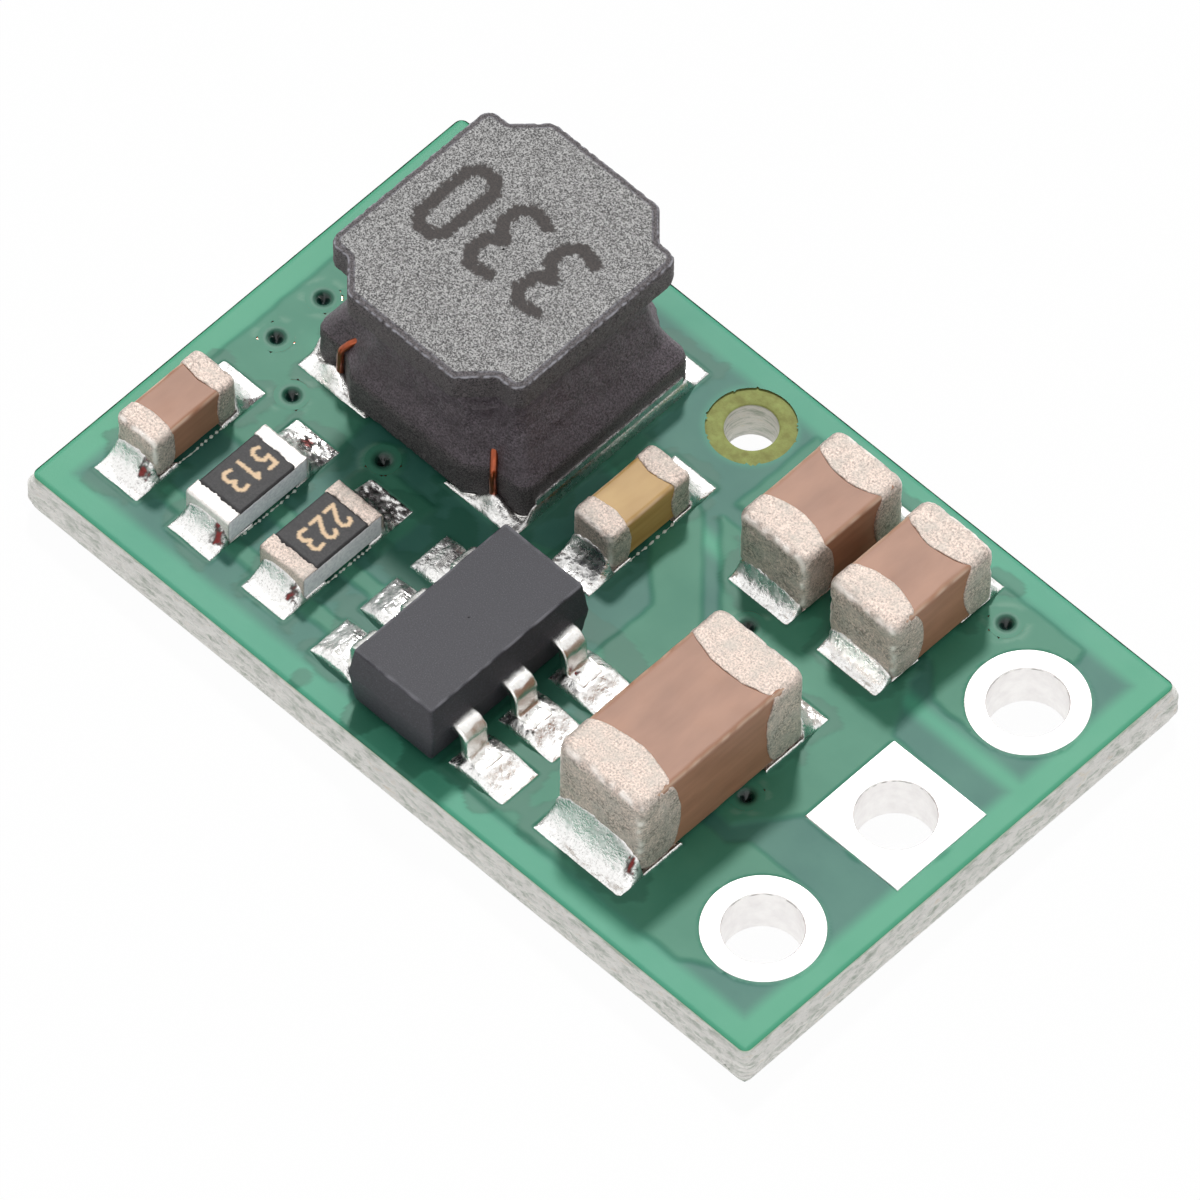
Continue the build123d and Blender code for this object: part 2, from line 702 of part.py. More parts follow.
def lead_solder(side, row):
    """Solder of one lead: the coat on the pad, the film under the foot, a bank round its flat and a heel."""
    y = lead_rows[row] + controller_shift_y
    toe = controller_x + side * lead_span / 2
    heel = controller_x + side * (lead_span / 2 - lead_foot)
    flat = toe - side * (lead_foot - lead_bend - lead_thickness / 2)
    coat = slab(controller_pad(side, row), top_copper_z, board_top_z)
    bank_top = seat_z + 0.8 * lead_thickness
    profile = Plane.XZ * area((toe + side * toe_fillet, board_top_z), (toe, bank_top), (flat, bank_top),
                              (flat, seat_z), (heel - side * lead_bend / 2, seat_z + solder_film),
                              (heel - side * heel_fillet, board_top_z))
    bank = Pos(0, y + lead_width / 2 + bank_width, 0) * extrude(profile, lead_width + 2 * bank_width)
    foot = block(flat, toe, y - lead_width / 2, y + lead_width / 2, seat_z, seat_z + lead_thickness)
    return union([coat, bank]) - foot


def inductor_solder(side):
    """Solder of one inductor pad: the coat, the film under the electrode, and the edge fillet beside it."""
    half_x, shoulder_y = lower_flange[0], lower_flange[2]
    wall = inductor_x + side * (half_x + electrode_thickness)
    outer = inductor_x + side * inductor_pad_span / 2
    reach = shoulder_y - flange_corner_radius
    pad = inductor_pad(side)
    inner = outer - side * inductor_pad_width
    coat = slab(pad, top_copper_z, board_top_z)
    film = block(inner, wall, inductor_y - reach, inductor_y + reach, board_top_z, seat_z)
    inside, bead_top = wall - side * electrode_thickness / 2, seat_z + 0.8 * electrode_rise
    profile = Plane.XZ * area((outer, board_top_z), (wall, bead_top), (inside, bead_top), (inside, board_top_z))
    bead = Pos(0, inductor_y + reach, 0) * extrude(profile, 2 * reach)
    notch_x, notch_y = wire_notch(side)
    joint = Pos(inductor_x + notch_x + side * 0.08, inductor_y + notch_y + 0.05, board_top_z)
    lump = loft([joint * RegularPolygon(0.26, lump_sides),
                 joint * Pos(0, 0, 0.24) * RegularPolygon(0.12, lump_sides)], ruled=True)
    lump = lump & slab(pad, board_top_z, board_top_z + inductor_height)
    metal = union([coat, film, bead, lump])
    for piece in (electrode(side), core(), *wire_ends()):
        metal = metal - at_inductor(piece)
    return metal


def build():
    """Every node of the module, by name."""
    nodes = {
        "board_laminate": laminate(),
        "board_copper_top": copper_layer(top_copper_areas(), laminate_top_z, top_copper_z),
        "board_copper_bottom": copper_layer(bottom_copper_areas(), bottom_copper_z, laminate_bottom_z),
        "board_mask_top": mask_top(),
        "board_mask_bottom": mask_bottom(),
        "via_barrels": via_barrels(),
        "inductor_core": at_inductor(core()),
        "inductor_coil": at_inductor(coil()),
        "inductor_resin": at_inductor(resin()),
        "inductor_wire_ends": [at_inductor(end) for end in wire_ends()],
        "inductor_electrode_1": at_inductor(electrode(-1)),
        "inductor_electrode_2": at_inductor(electrode(1)),
        "inductor_solder": [inductor_solder(side) for side in (-1, 1)],
        "controller_body": at_controller(controller_body()),
        "controller_die": at_controller(die()),
        "controller_solder": [lead_solder(side, row) for side in (-1, 1) for row in range(3)],
    }
    for row in range(pin_count):
        nodes[f"pin_hole_plating_{row + 1}"] = pin_hole_plating(row)
    for number, (side, row) in enumerate(((side, row) for side in (-1, 1) for row in range(3)), 1):
        nodes[f"controller_lead_{number}"] = at_controller(lead(side, row))
    for name, chip in capacitors.items():
        nodes[f"{name}_ceramic"] = at_chip(chip, ceramic(chip))
        nodes[f"{name}_end_1"] = at_chip(chip, capacitor_end(chip, -1))
        nodes[f"{name}_end_2"] = at_chip(chip, capacitor_end(chip, 1))
        nodes[f"{name}_solder"] = [end_solder(chip, side) for side in (-1, 1)]
    for name, chip in resistors.items():
        nodes[f"{name}_substrate"] = at_chip(chip, resistor_substrate(chip))
        nodes[f"{name}_overcoat"] = at_chip(chip, resistor_overcoat(chip))
        nodes[f"{name}_end_1"] = at_chip(chip, resistor_end(chip, -1))
        nodes[f"{name}_end_2"] = at_chip(chip, resistor_end(chip, 1))
        nodes[f"{name}_solder"] = [end_solder(chip, side) for side in (-1, 1)]
    return nodes


def main():
    os.makedirs("parts", exist_ok=True)
    for name, shape in build().items():
        pieces = shape if isinstance(shape, list) else [shape]
        solids = [solid for piece in pieces for solid in moved_to_origin(piece).solids()]
        export_step(Compound(children=solids) if len(solids) > 1 else solids[0], f"parts/{name}.step")


main()
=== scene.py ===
# %% [markdown]
# # Buck converter module
#
# A small step-down power converter: a circuit board with a square inductor, a controller chip, five
# ceramic capacitors and two resistors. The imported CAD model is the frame, and this scene dresses it:
# nearly every visible surface is a mesh computed from the same measures, with a procedural material.
#
# The measures below are millimetres. Places on the board are counted from its corner at the inductor end,
# with x along the long side, y across it, and z up from the underside.

import math

import bpy
import numpy as np
from mathutils import Matrix, Vector


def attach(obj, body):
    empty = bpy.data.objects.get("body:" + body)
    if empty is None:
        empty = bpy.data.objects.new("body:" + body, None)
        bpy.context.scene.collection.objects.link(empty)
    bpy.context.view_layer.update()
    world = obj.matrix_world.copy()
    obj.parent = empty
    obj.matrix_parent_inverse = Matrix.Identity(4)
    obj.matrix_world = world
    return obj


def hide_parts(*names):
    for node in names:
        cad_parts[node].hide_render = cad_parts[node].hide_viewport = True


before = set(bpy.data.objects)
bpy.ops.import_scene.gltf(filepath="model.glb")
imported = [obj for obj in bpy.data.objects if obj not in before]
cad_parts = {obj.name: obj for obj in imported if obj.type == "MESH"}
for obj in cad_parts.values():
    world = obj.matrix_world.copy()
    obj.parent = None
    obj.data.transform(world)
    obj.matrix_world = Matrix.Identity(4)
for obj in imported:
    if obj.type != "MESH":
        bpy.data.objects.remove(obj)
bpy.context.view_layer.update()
print("CAD nodes:", len(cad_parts))

# %% [markdown]
# ## Measures
#
# These are the part's own dimensions, repeated by name from its source. Only the width and the bow of the
# capacitors' end bands were read from the photograph once more, so they differ from it by a few
# hundredths.

# %% Board measures
INCH = 25.4
BOARD_LENGTH, BOARD_WIDTH = 0.525 * INCH, 0.325 * INCH
LAMINATE_BOTTOM, LAMINATE_TOP, BOARD_TOP = 0.055, 0.745, 0.80
MASK_LOW, MASK_HIGH = LAMINATE_TOP + 0.03, BOARD_TOP
SCORE_BULGE, SCORE_DEPTH, CORNER_RADIUS = 0.09, 0.22, 0.12
FILM = 0.03
SEAT = BOARD_TOP + FILM

PIN_X = BOARD_LENGTH - 1.212
PIN_Y = [BOARD_WIDTH / 2 + k * 0.1 * INCH for k in (-1, 0, 1)]
PIN_BORE, PIN_PAD = 1.12, 1.71
PLAIN_HOLE_AT, PLAIN_HOLE, PLAIN_OPENING = (6.36, 7.33), 0.74, 1.26

VIAS = [(0.79, 4.79), (0.79, 3.89), (1.61, 3.36), (11.03, 7.39), (3.23, 3.46), (8.61, 4.93), (10.49, 2.96)]
TRACE = 0.25
print(f"board: {BOARD_LENGTH:.2f} x {BOARD_WIDTH:.2f} x {BOARD_TOP} mm, {len(VIAS)} vias")

# %% [markdown]
# The inductor is a ferrite drum: two flanges with cut corners on a post, with resin between them. Five
# numbers hold each flange's outline, so one rule can draw both.

# %% Inductor measures
INDUCTOR = (3.335, 5.65)
INDUCTOR_HEIGHT = 2.75
LOWER_THICKNESS, UPPER_THICKNESS, ELECTRODE = 0.64, 0.50, 0.03
LOWER_FLANGE = (1.975, 1.86, 1.61, 1.40, 1.05)
UPPER_FLANGE = (1.785, 1.98, 1.55, 1.40, 0.98)
LOWER_TOP = ELECTRODE + LOWER_THICKNESS
UPPER_BOTTOM = INDUCTOR_HEIGHT - UPPER_THICKNESS
RESIN_NECK, RESIN_WAIST = 0.16, 0.22
WIRE = 0.11
INDUCTOR_PAD = (3.78, 1.30, 4.064)
print("inductor height:", INDUCTOR_HEIGHT, "mm")

# %% [markdown]
# The controller is a small moulded package with three leads on each side. Its pads are listed apart from
# its body, because it was soldered a little off their middle.

# %% Controller measures
CONTROLLER_PAD = (6.50, 1.866)
CONTROLLER_PAD_SIZE, CONTROLLER_PAD_SPAN = (1.00, 0.70), 3.58
CONTROLLER = (6.42, 1.836)
CONTROLLER_SIZE, CONTROLLER_END = (1.60, 2.98), (1.44, 2.89)
STANDOFF, CONTROLLER_TOP, PARTING = 0.08, 1.20, 0.65
LEAD_PITCH, LEAD_WIDTH, LEAD_THICKNESS = 0.95, 0.41, 0.15
LEAD_SPAN, LEAD_SHOULDER, LEAD_FOOT, LEAD_BEND = 2.80, 1.095, 0.36, 0.09
LEAD_ROWS = [CONTROLLER_PAD[1] + k * LEAD_PITCH for k in (-1, 0, 1)]
print("lead rows at y =", [round(y, 3) for y in LEAD_ROWS])

# %% [markdown]
# There are five capacitors and two resistors. A table of their numbers lets one function make each kind
# of piece, where a copy for each part would soon drift apart.

# %% Chip part measures
# Each part: centre, width, length, height, end band, bow of the band's edge, solder height, pad centre,
# pad span, pad width and pad length.
FIELDS = ("x", "y", "width", "length", "height", "band", "bulge", "fillet",
          "pad_x", "pad_y", "pad_span", "pad_width", "pad_length")
CHIPS = {
    "feedback_capacitor": (0.920, 1.86, 0.78, 1.58, 0.80, 0.32, 0.06, 0.42, 0.947, 1.90, 2.48, 0.80, 0.82),
    "boost_capacitor": (6.350, 5.03, 0.76, 1.57, 0.80, 0.32, 0.07, 0.40, 6.355, 5.03, 2.46, 0.78, 0.82),
    "output_capacitor_1": (8.410, 6.54, 1.25, 1.97, 1.22, 0.42, 0.17, 0.30, 8.42, 6.55, 2.50, 1.10, 0.85),
    "output_capacitor_2": (10.040, 6.57, 1.25, 1.97, 1.22, 0.42, 0.17, 0.30, 10.06, 6.55, 2.50, 1.10, 0.85),
    "input_capacitor": (9.625, 2.595, 1.60, 3.16, 1.57, 0.58, 0.18, 0.62, 9.625, 2.605, 4.01, 1.61, 1.20),
    "feedback_resistor_1": (2.335, 1.78, 0.80, 1.53, 0.47, 0.23, 0.0, 0.36, 2.325, 1.90, 2.48, 0.80, 0.82),
    "feedback_resistor_2": (3.685, 1.825, 0.82, 1.52, 0.47, 0.26, 0.0, 0.36, 3.715, 1.90, 2.48, 0.80, 0.82),
}
CHIPS = {name: dict(zip(FIELDS, values)) for name, values in CHIPS.items()}
CAPACITORS = [name for name in CHIPS if name.endswith("capacitor") or "output_capacitor" in name]
RESISTORS = [name for name in CHIPS if "resistor" in name]
PLATING = 0.025
print("capacitors:", len(CAPACITORS), "resistors:", len(RESISTORS))


# %% [markdown]
# ## Tools for computed surfaces
#
# Every new piece is a grid of points worked out with numpy. Three helpers do the repeated work: `wave` is
# a smooth pseudo-random field, `smooth_ring` turns a few corners into an evenly spaced rounded outline
# with its outward normals, and `make_piece` turns points and faces into a Blender object that rides on
# the frame.

# %% Number tools
def step(value, low, high):
    """Smooth rise from 0 at low to 1 at high: 3t^2 - 2t^3, with t the clipped share of the way."""
    t = np.clip((value - low) / (high - low), 0.0, 1.0)
    return t * t * (3 - 2 * t)


def wave(points, size, seed, count=20):
    """Smooth pseudo-random field of about unit height: a sum of cosines, cos(k.p + phase), whose wave
    vectors k have seeded random directions and wavelengths near size, in the points' own unit."""
    points = np.asarray(points, float)
    dice = np.random.default_rng(seed)
    vectors = dice.normal(size=(count, points.shape[1]))
    lengths = np.linalg.norm(vectors, axis=1)[:, None]
    vectors *= (2 * math.pi / size) * dice.uniform(0.6, 1.5, (count, 1)) / lengths
    phases = dice.uniform(0, 2 * math.pi, count)
    return np.cos(points @ vectors.T + phases).sum(axis=1) / math.sqrt(count / 2)


def rectangle_distance(x, y, x0, x1, y0, y1):
    """Signed distance to a rectangle's edge: q = |p - centre| - half size, then length(max(q, 0)) +
    min(max(q), 0)."""
    qx = np.abs(x - (x0 + x1) / 2) - (x1 - x0) / 2
    qy = np.abs(y - (y0 + y1) / 2) - (y1 - y0) / 2
    return np.hypot(np.maximum(qx, 0), np.maximum(qy, 0)) + np.minimum(np.maximum(qx, qy), 0)


def segment_distance(x, y, ends):
    """Distance to the nearest of a run of straight segments: |p - a - t(b - a)| with t clipped to
    0..1."""
    best = np.full(np.shape(x), 1e9)
    for (x0, y0), (x1, y1) in zip(ends, ends[1:]):
        dx, dy = x1 - x0, y1 - y0
        t = np.clip(((x - x0) * dx + (y - y0) * dy) / (dx * dx + dy * dy + 1e-12), 0, 1)
        best = np.minimum(best, np.hypot(x - x0 - t * dx, y - y0 - t * dy))
    return best


def ring_distance(x, y, ring):
    """Signed distance to a closed ring of corners, negative inside, where a ray to +x crosses the ring
    oddly often."""
    closed = [*ring, ring[0]]
    best = segment_distance(x, y, closed)
    inside = np.zeros(np.shape(x), bool)
    for (x0, y0), (x1, y1) in zip(closed, closed[1:]):
        if y0 == y1:
            continue
        crosses = (y0 > y) != (y1 > y)
        inside ^= crosses & (x < x0 + (y - y0) * (x1 - x0) / (y1 - y0))
    return np.where(inside, -best, best)


print("wave at the origin:", wave([[0.0, 0.0]], 0.5, 1).round(3))


# %% [markdown]
# Pressed and moulded parts have no sharp corners, and a rounded one catches the light. A bevel modifier
# could round them too, but points that are worked out directly are even and can carry a formula.

# %% Outline tools
def smooth_ring(corners, radii, count):
    """Outline through a ring of corners, listed anticlockwise, each rounded by an arc of its radius.
    Returns count points, evenly spaced along it, and their outward normals."""
    corners = np.asarray(corners, float)
    radii = np.broadcast_to(radii, len(corners))
    path = []
    for before, corner, after, radius in zip(np.roll(corners, 1, 0), corners, np.roll(corners, -1, 0),
                                             radii):
        into = (corner - before) / np.linalg.norm(corner - before)
        out = (after - corner) / np.linalg.norm(after - corner)
        turn = math.atan2(into[0] * out[1] - into[1] * out[0], into @ out)
        if abs(turn) < 1e-6 or radius <= 0:
            path.append(corner)
            continue
        cut = radius * math.tan(abs(turn) / 2)
        start = corner - into * cut
        centre = start + math.copysign(radius, turn) * np.array([-into[1], into[0]])
        first = math.atan2(*(start - centre)[::-1])
        for share in np.linspace(0, 1, 9):
            angle = first + turn * share
            path.append(centre + radius * np.array([math.cos(angle), math.sin(angle)]))
    path = np.array([*path, path[0]])
    along = np.concatenate([[0], np.cumsum(np.linalg.norm(np.diff(path, axis=0), axis=1))])
    places = np.linspace(0, along[-1], count, endpoint=False)
    points = np.stack([np.interp(places, along, path[:, k]) for k in (0, 1)], axis=1)
    tangents = np.roll(points, -1, 0) - np.roll(points, 1, 0)
    tangents /= np.linalg.norm(tangents, axis=1)[:, None]
    return points, np.stack([tangents[:, 1], -tangents[:, 0]], axis=1)


def box_corners(width, height):
    """Corners of a rectangle round the origin, anticlockwise."""
    return [(width / 2, -height / 2), (width / 2, height / 2), (-width / 2, height / 2),
            (-width / 2, -height / 2)]


print("points of a rounded square:", len(smooth_ring(box_corners(1, 1), 0.1, 48)[0]))


# %% [markdown]
# A grid of points becomes faces by its row and column numbers. Values such as ink or wear are stored on
# the points as attributes, which the materials read.

# %% Mesh tools
def grid_faces(rows, columns, wrap=False):
    """Four-cornered faces of a grid of points stored row by row. With wrap, the last column joins the
    first."""
    index = np.arange(rows * columns).reshape(rows, columns)
    if wrap:
        index = np.hstack([index, index[:, :1]])
    corners = [index[:-1, :-1], index[:-1, 1:], index[1:, 1:], index[1:, :-1]]
    return np.stack(corners, axis=-1).reshape(-1, 4)


def join(parts):
    """One set of points, faces and attributes from several (points, faces, attributes) sets."""
    points, faces, attributes, total = [], [], {}, 0
    names = sorted({name for part in parts for name in part[2]})
    for part_points, part_faces, part_attributes in parts:
        points.append(part_points)
        faces.append(np.asarray(part_faces) + total)
        for name in names:
            values = part_attributes.get(name, np.zeros(len(part_points)))
            attributes.setdefault(name, []).append(values)
        total += len(part_points)
    return np.vstack(points), np.vstack(faces), {name: np.concatenate(v) for name, v in attributes.items()}


def make_piece(name, shape, material, slot, *nodes):
    """Object from (points in mm, faces, attributes), riding on the frame in place of the given CAD
    nodes."""
    points, faces, attributes = shape
    origin = np.array([BOARD_LENGTH / 2, BOARD_WIDTH / 2, 0.0])
    mesh = bpy.data.meshes.new(name)
    mesh.from_pydata(((points - origin) / 1000).tolist(), [], np.asarray(faces).tolist())
    for label, values in attributes.items():
        layer = mesh.attributes.new(label, "FLOAT", "POINT")
        layer.data.foreach_set("value", np.asarray(values, np.float32))
    mesh.validate()
    mesh.shade_smooth()
    mesh.materials.append(material)
    piece = bpy.data.objects.new(name, mesh)
    bpy.context.scene.collection.objects.link(piece)
    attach(piece, "root")
    if nodes:
        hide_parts(*nodes)
    print(f"{name}: {len(faces)} faces")
    return piece


# %% [markdown]
# ## How the materials are made
#
# Each finish starts from what the real surface is and how it was made. Its colours are written as sRGB
# hex values and turned to linear light by one function, and its roughness and metallic values start from
# the usual ones for that material. Nodes could be placed by hand in the editor, but a list written out
# can be read, compared and repeated. One small function adds any node, so a material is a short run of
# such lines.
#
# Pattern sizes are written in millimetres, and a grain too fine to show is drawn coarser. Object
# coordinates are metres here, so a noise with grains of s mm has the scale 1000 / s.

# %% Material tools
def linear(hex_colour):
    """Linear RGBA from an sRGB hex colour such as "5fae94": ((c + 0.055) / 1.055)^2.4 above 0.04045."""
    values = [int(hex_colour[k:k + 2], 16) / 255 for k in (0, 2, 4)]
    return (*[((c + 0.055) / 1.055) ** 2.4 if c > 0.04045 else c / 12.92 for c in values], 1.0)


def set_inputs(tree, node, inputs):
    """Sets a node's inputs to values, or links them where the value is another node's socket."""
    for key, value in inputs.items():
        if isinstance(value, bpy.types.NodeSocket):
            tree.links.new(value, node.inputs[key])
        else:
            node.inputs[key].default_value = value


def add(tree, kind, inputs, **settings):
    """Adds a shader node, its kind given without Blender's ShaderNode in front, with settings and
    inputs."""
    node = tree.nodes.new("ShaderNode" + kind)
    for name, value in settings.items():
        setattr(node, name, value)
    set_inputs(tree, node, inputs)
    return node


def new_material(name):
    """Empty material, with its node tree, its main shader and the Object coordinates of its patterns."""
    material = bpy.data.materials.new(name)
    material.use_nodes = True
    tree = material.node_tree
    place = add(tree, "TexCoord", {}).outputs["Object"]
    return material, tree, tree.nodes["Principled BSDF"], place


print("mid green in linear light:", [round(value, 3) for value in linear("3f9b7b")[:3]])

# %% [markdown]
# ## Solder mask
#
# The green skin is an epoxy lacquer, screened on wet and cured. It is clear enough to show what lies
# below: greyer green over copper, bluer where only the far side has copper, mint where there is bare
# laminate. A real light path through a coloured film would be slow and noisy, so the copper's distance
# fields are painted into the lacquer's colour instead. The gloss is broken by a fine orange peel, and
# dried soldering flux lies on it as a darker, smoother film.

# %% Solder mask
# Lacquer: screened and cured epoxy. Semi-gloss, with cloudy milkiness and crisp colour steps over the
# copper.
MASK, tree, shader, place = new_material("screened_green_lacquer")
across = add(tree, "SeparateXYZ", {"Vector": place}).outputs["X"]
across = add(tree, "Math", {0: across}, operation="ABSOLUTE").outputs[0]
ends = add(tree, "MapRange", {"Value": across, "From Min": 0.0050, "From Max": 0.0065}).outputs["Result"]
bare = add(tree, "Mix", {"Factor": ends, 6: linear("40987a"), 7: linear("449d7a")}, data_type="RGBA")
below = add(tree, "Attribute", {}, attribute_name="copper_bottom").outputs["Fac"]
colour = add(tree, "Mix", {"Factor": below, 6: bare.outputs[2], 7: linear("29695c")}, data_type="RGBA")
above = add(tree, "Attribute", {}, attribute_name="copper_top").outputs["Fac"]
colour = add(tree, "Mix", {"Factor": above, 6: colour.outputs[2], 7: linear("2f7a60")}, data_type="RGBA")
step_line = add(tree, "Attribute", {}, attribute_name="edge").outputs["Fac"]
colour = add(tree, "Mix", {"Factor": step_line, 6: colour.outputs[2], 7: linear("2a6f59")},
             data_type="RGBA")
cloud = add(tree, "TexNoise", {"Vector": place, "Scale": 1000 / 0.9, "Detail": 3.0}).outputs["Fac"]
cloud = add(tree, "MapRange", {"Value": cloud, "From Min": 0.3, "From Max": 0.7, "To Max": 0.12})
colour = add(tree, "Mix", {"Factor": cloud.outputs["Result"], 6: colour.outputs[2],
                                     7: linear("7dbd9f")}, data_type="RGBA")
flux = add(tree, "Attribute", {}, attribute_name="flux").outputs["Fac"]
film = add(tree, "Math", {0: flux, 1: 0.62}, operation="MULTIPLY").outputs[0]
colour = add(tree, "Mix", {"Factor": film, 6: colour.outputs[2], 7: linear("145c46")}, data_type="RGBA")
# A pale ring round each via: a painted highlight of its raised rim.
crust = add(tree, "Attribute", {}, attribute_name="crust").outputs["Fac"]
colour = add(tree, "Mix", {"Factor": crust, 6: colour.outputs[2], 7: linear("c9dccb")}, data_type="RGBA")
# The middle of each via is painted near-black teal: painted shade in the hole under the lacquer.
pit = add(tree, "Attribute", {}, attribute_name="pit").outputs["Fac"]
colour = add(tree, "Mix", {"Factor": pit, 6: colour.outputs[2], 7: linear("041b18")}, data_type="RGBA")
rough = add(tree, "MapRange", {"Value": flux, "To Min": 0.56, "To Max": 0.53}).outputs["Result"]
rough = add(tree, "MapRange", {"Value": pit, "To Min": rough, "To Max": 0.14}).outputs["Result"]
peel = add(tree, "TexNoise", {"Vector": place, "Scale": 1000 / 0.10, "Detail": 3.0, "Roughness": 0.6})
peel = add(tree, "Bump", {"Height": peel.outputs["Fac"], "Distance": 0.0012 / 1000})
set_inputs(tree, shader, {"Base Color": colour.outputs[2], "Roughness": rough,
                          "Normal": peel.outputs["Normal"]})
print("solder mask:", len(tree.nodes), "nodes")

# %% [markdown]
# ## Laminate
#
# The board itself is woven glass in epoxy. Its rim was scored and snapped, so broken fibres stand out of
# a pale resin: off-white, with grey-green streaks that run along the edge and a few warm specks. The
# streaks are one noise stretched along the edge, and the grain another, and both also push the surface.
# The ring round the plain hole has no lacquer, and there the weave shows olive through the resin.

# %% Laminate
# Glass-epoxy: pressed, scored and snapped. Chalky and matte, with fibrous streaks.
LAMINATE, tree, shader, place = new_material("snapped_glass_epoxy")
along = add(tree, "Mapping", {"Vector": place, "Scale": (1.0, 1.0, 4.5)}).outputs["Vector"]
streak = add(tree, "TexNoise",
             {"Vector": along, "Scale": 1000 / 0.35, "Detail": 5.0, "Roughness": 0.65}).outputs["Fac"]
grain = add(tree, "TexNoise",
            {"Vector": along, "Scale": 1000 / 0.06, "Detail": 4.0, "Roughness": 0.7}).outputs["Fac"]
pale = add(tree, "MapRange", {"Value": streak, "From Min": 0.34, "From Max": 0.52}).outputs["Result"]
colour = add(tree, "Mix", {"Factor": pale, 6: linear("bfc7bb"), 7: linear("fdfbf6")}, data_type="RGBA")
warm = add(tree, "MapRange", {"Value": streak, "From Min": 0.60, "From Max": 0.74, "To Max": 0.7})
colour = add(tree, "Mix", {"Factor": warm.outputs["Result"], 6: colour.outputs[2], 7: linear("e9d9bd")},
             data_type="RGBA")
fibre = add(tree, "MapRange", {"Value": grain, "From Min": 0.54, "From Max": 0.74, "To Max": 0.55})
colour = add(tree, "Mix", {"Factor": fibre.outputs["Result"], 6: colour.outputs[2], 7: linear("a5b1a6")},
             data_type="RGBA")
weave = add(tree, "TexNoise", {"Vector": place, "Scale": 1000 / 0.14, "Detail": 3.0, "Roughness": 0.6})
weave = add(tree, "MapRange", {"Value": weave.outputs["Fac"], "From Min": 0.3, "From Max": 0.7})
olive = add(tree, "Mix", {"Factor": weave.outputs["Result"], 6: linear("7f8040"), 7: linear("98a25a")},
            data_type="RGBA")
unmasked = add(tree, "Attribute", {}, attribute_name="bare").outputs["Fac"]
colour = add(tree, "Mix", {"Factor": unmasked, 6: colour.outputs[2], 7: olive.outputs[2]},
             data_type="RGBA")
rim = add(tree, "Attribute", {}, attribute_name="rim").outputs["Fac"]
colour = add(tree, "Mix", {"Factor": rim, 6: colour.outputs[2], 7: linear("b5cfae")}, data_type="RGBA")
relief = add(tree, "Bump", {"Height": streak, "Distance": 0.030 / 1000}).outputs["Normal"]
relief = add(tree, "Bump", {"Height": grain, "Distance": 0.012 / 1000, "Normal": relief})
set_inputs(tree, shader, {"Base Color": colour.outputs[2], "Roughness": 0.7,
                          "Normal": relief.outputs["Normal"]})
print("laminate:", len(tree.nodes), "nodes")

# %% [markdown]
# ## Solder
#
# Tin solder freezes with a bright, rippled skin. Its colour is nearly white, so its look is all reflection:
# ripples of 0.14 mm bend the white surroundings and the dark parts into the streaks that the eye reads as
# solder. It is painted darker where it meets a part and in patches on some pads, and a dark blot with a red
# heart lies beside some parts, painted by two attributes of the joint's mesh.

# %% Solder
# Tin solder: melted and frozen. Mirror-bright ripples, darker near the parts.
SOLDER, tree, shader, place = new_material("reflowed_tin_solder")
grain = add(tree, "TexNoise",
            {"Vector": place, "Scale": 1000 / 0.035, "Detail": 4.0, "Roughness": 0.65}).outputs["Fac"]
ripple = add(tree, "TexNoise",
             {"Vector": place, "Scale": 1000 / 0.14, "Detail": 3.0, "Roughness": 0.6}).outputs["Fac"]
speckle = add(tree, "MapRange", {"Value": grain, "From Min": 0.50, "From Max": 0.72, "To Max": 0.55})
colour = add(tree, "Mix", {"Factor": speckle.outputs["Result"], 6: linear("fbfaf8"),
                                     7: linear("98958f")}, data_type="RGBA")
# Darker where the solder meets a part, in patches on some pads, and in a few blots with red hearts.
grime = add(tree, "Attribute", {}, attribute_name="grime").outputs["Fac"]
colour = add(tree, "Mix", {"Factor": grime, 6: colour.outputs[2], 7: linear("38302d")}, data_type="RGBA")
red = add(tree, "Attribute", {}, attribute_name="red").outputs["Fac"]
colour = add(tree, "Mix", {"Factor": red, 6: colour.outputs[2], 7: linear("8e1f1c")}, data_type="RGBA")
rough = add(tree, "MapRange", {"Value": ripple, "From Min": 0.3, "From Max": 0.7, "To Min": 0.16,
                                         "To Max": 0.38}).outputs["Result"]
metal = add(tree, "MapRange", {"Value": red, "To Min": 1.0, "To Max": 0.2}).outputs["Result"]
relief = add(tree, "Bump", {"Height": ripple, "Distance": 0.016 / 1000}).outputs["Normal"]
relief = add(tree, "Bump", {"Height": grain, "Distance": 0.005 / 1000, "Normal": relief})
set_inputs(tree, shader, {"Base Color": colour.outputs[2], "Metallic": metal, "Roughness": rough,
                          "Normal": relief.outputs["Normal"]})
print("solder:", len(tree.nodes), "nodes")

# %% [markdown]
# ## Ends of the chip parts
#
# A capacitor's end is dipped in metal paste, fired and plated with tin. The paste dries sandy, so the end
# is a matte silver whose grains of 0.03 mm sparkle warm and grey, and never shows a clean reflection. The
# first resistor's ends are smoother and look almost white.

# %% Dipped ends
# Fired silver paste under tin: sandy, matte silver with a warm sparkle, and coarser specks on the upright
# faces. Real grains are finer, and 0.03 mm is drawn so that they show.
TERMINATION, tree, shader, place = new_material("fired_and_tinned_paste")
grain = add(tree, "TexNoise",
            {"Vector": place, "Scale": 1000 / 0.030, "Detail": 3.0, "Roughness": 0.7}).outputs["Fac"]
patch = add(tree, "TexNoise",
            {"Vector": place, "Scale": 1000 / 0.25, "Detail": 3.0, "Roughness": 0.6}).outputs["Fac"]
dark = add(tree, "MapRange", {"Value": grain, "From Min": 0.40, "From Max": 0.76}).outputs["Result"]
colour = add(tree, "Mix", {"Factor": dark, 6: linear("e9d8cd"), 7: linear("877c74")}, data_type="RGBA")
worn = add(tree, "MapRange", {"Value": patch, "From Min": 0.42, "From Max": 0.70, "To Max": 0.60})
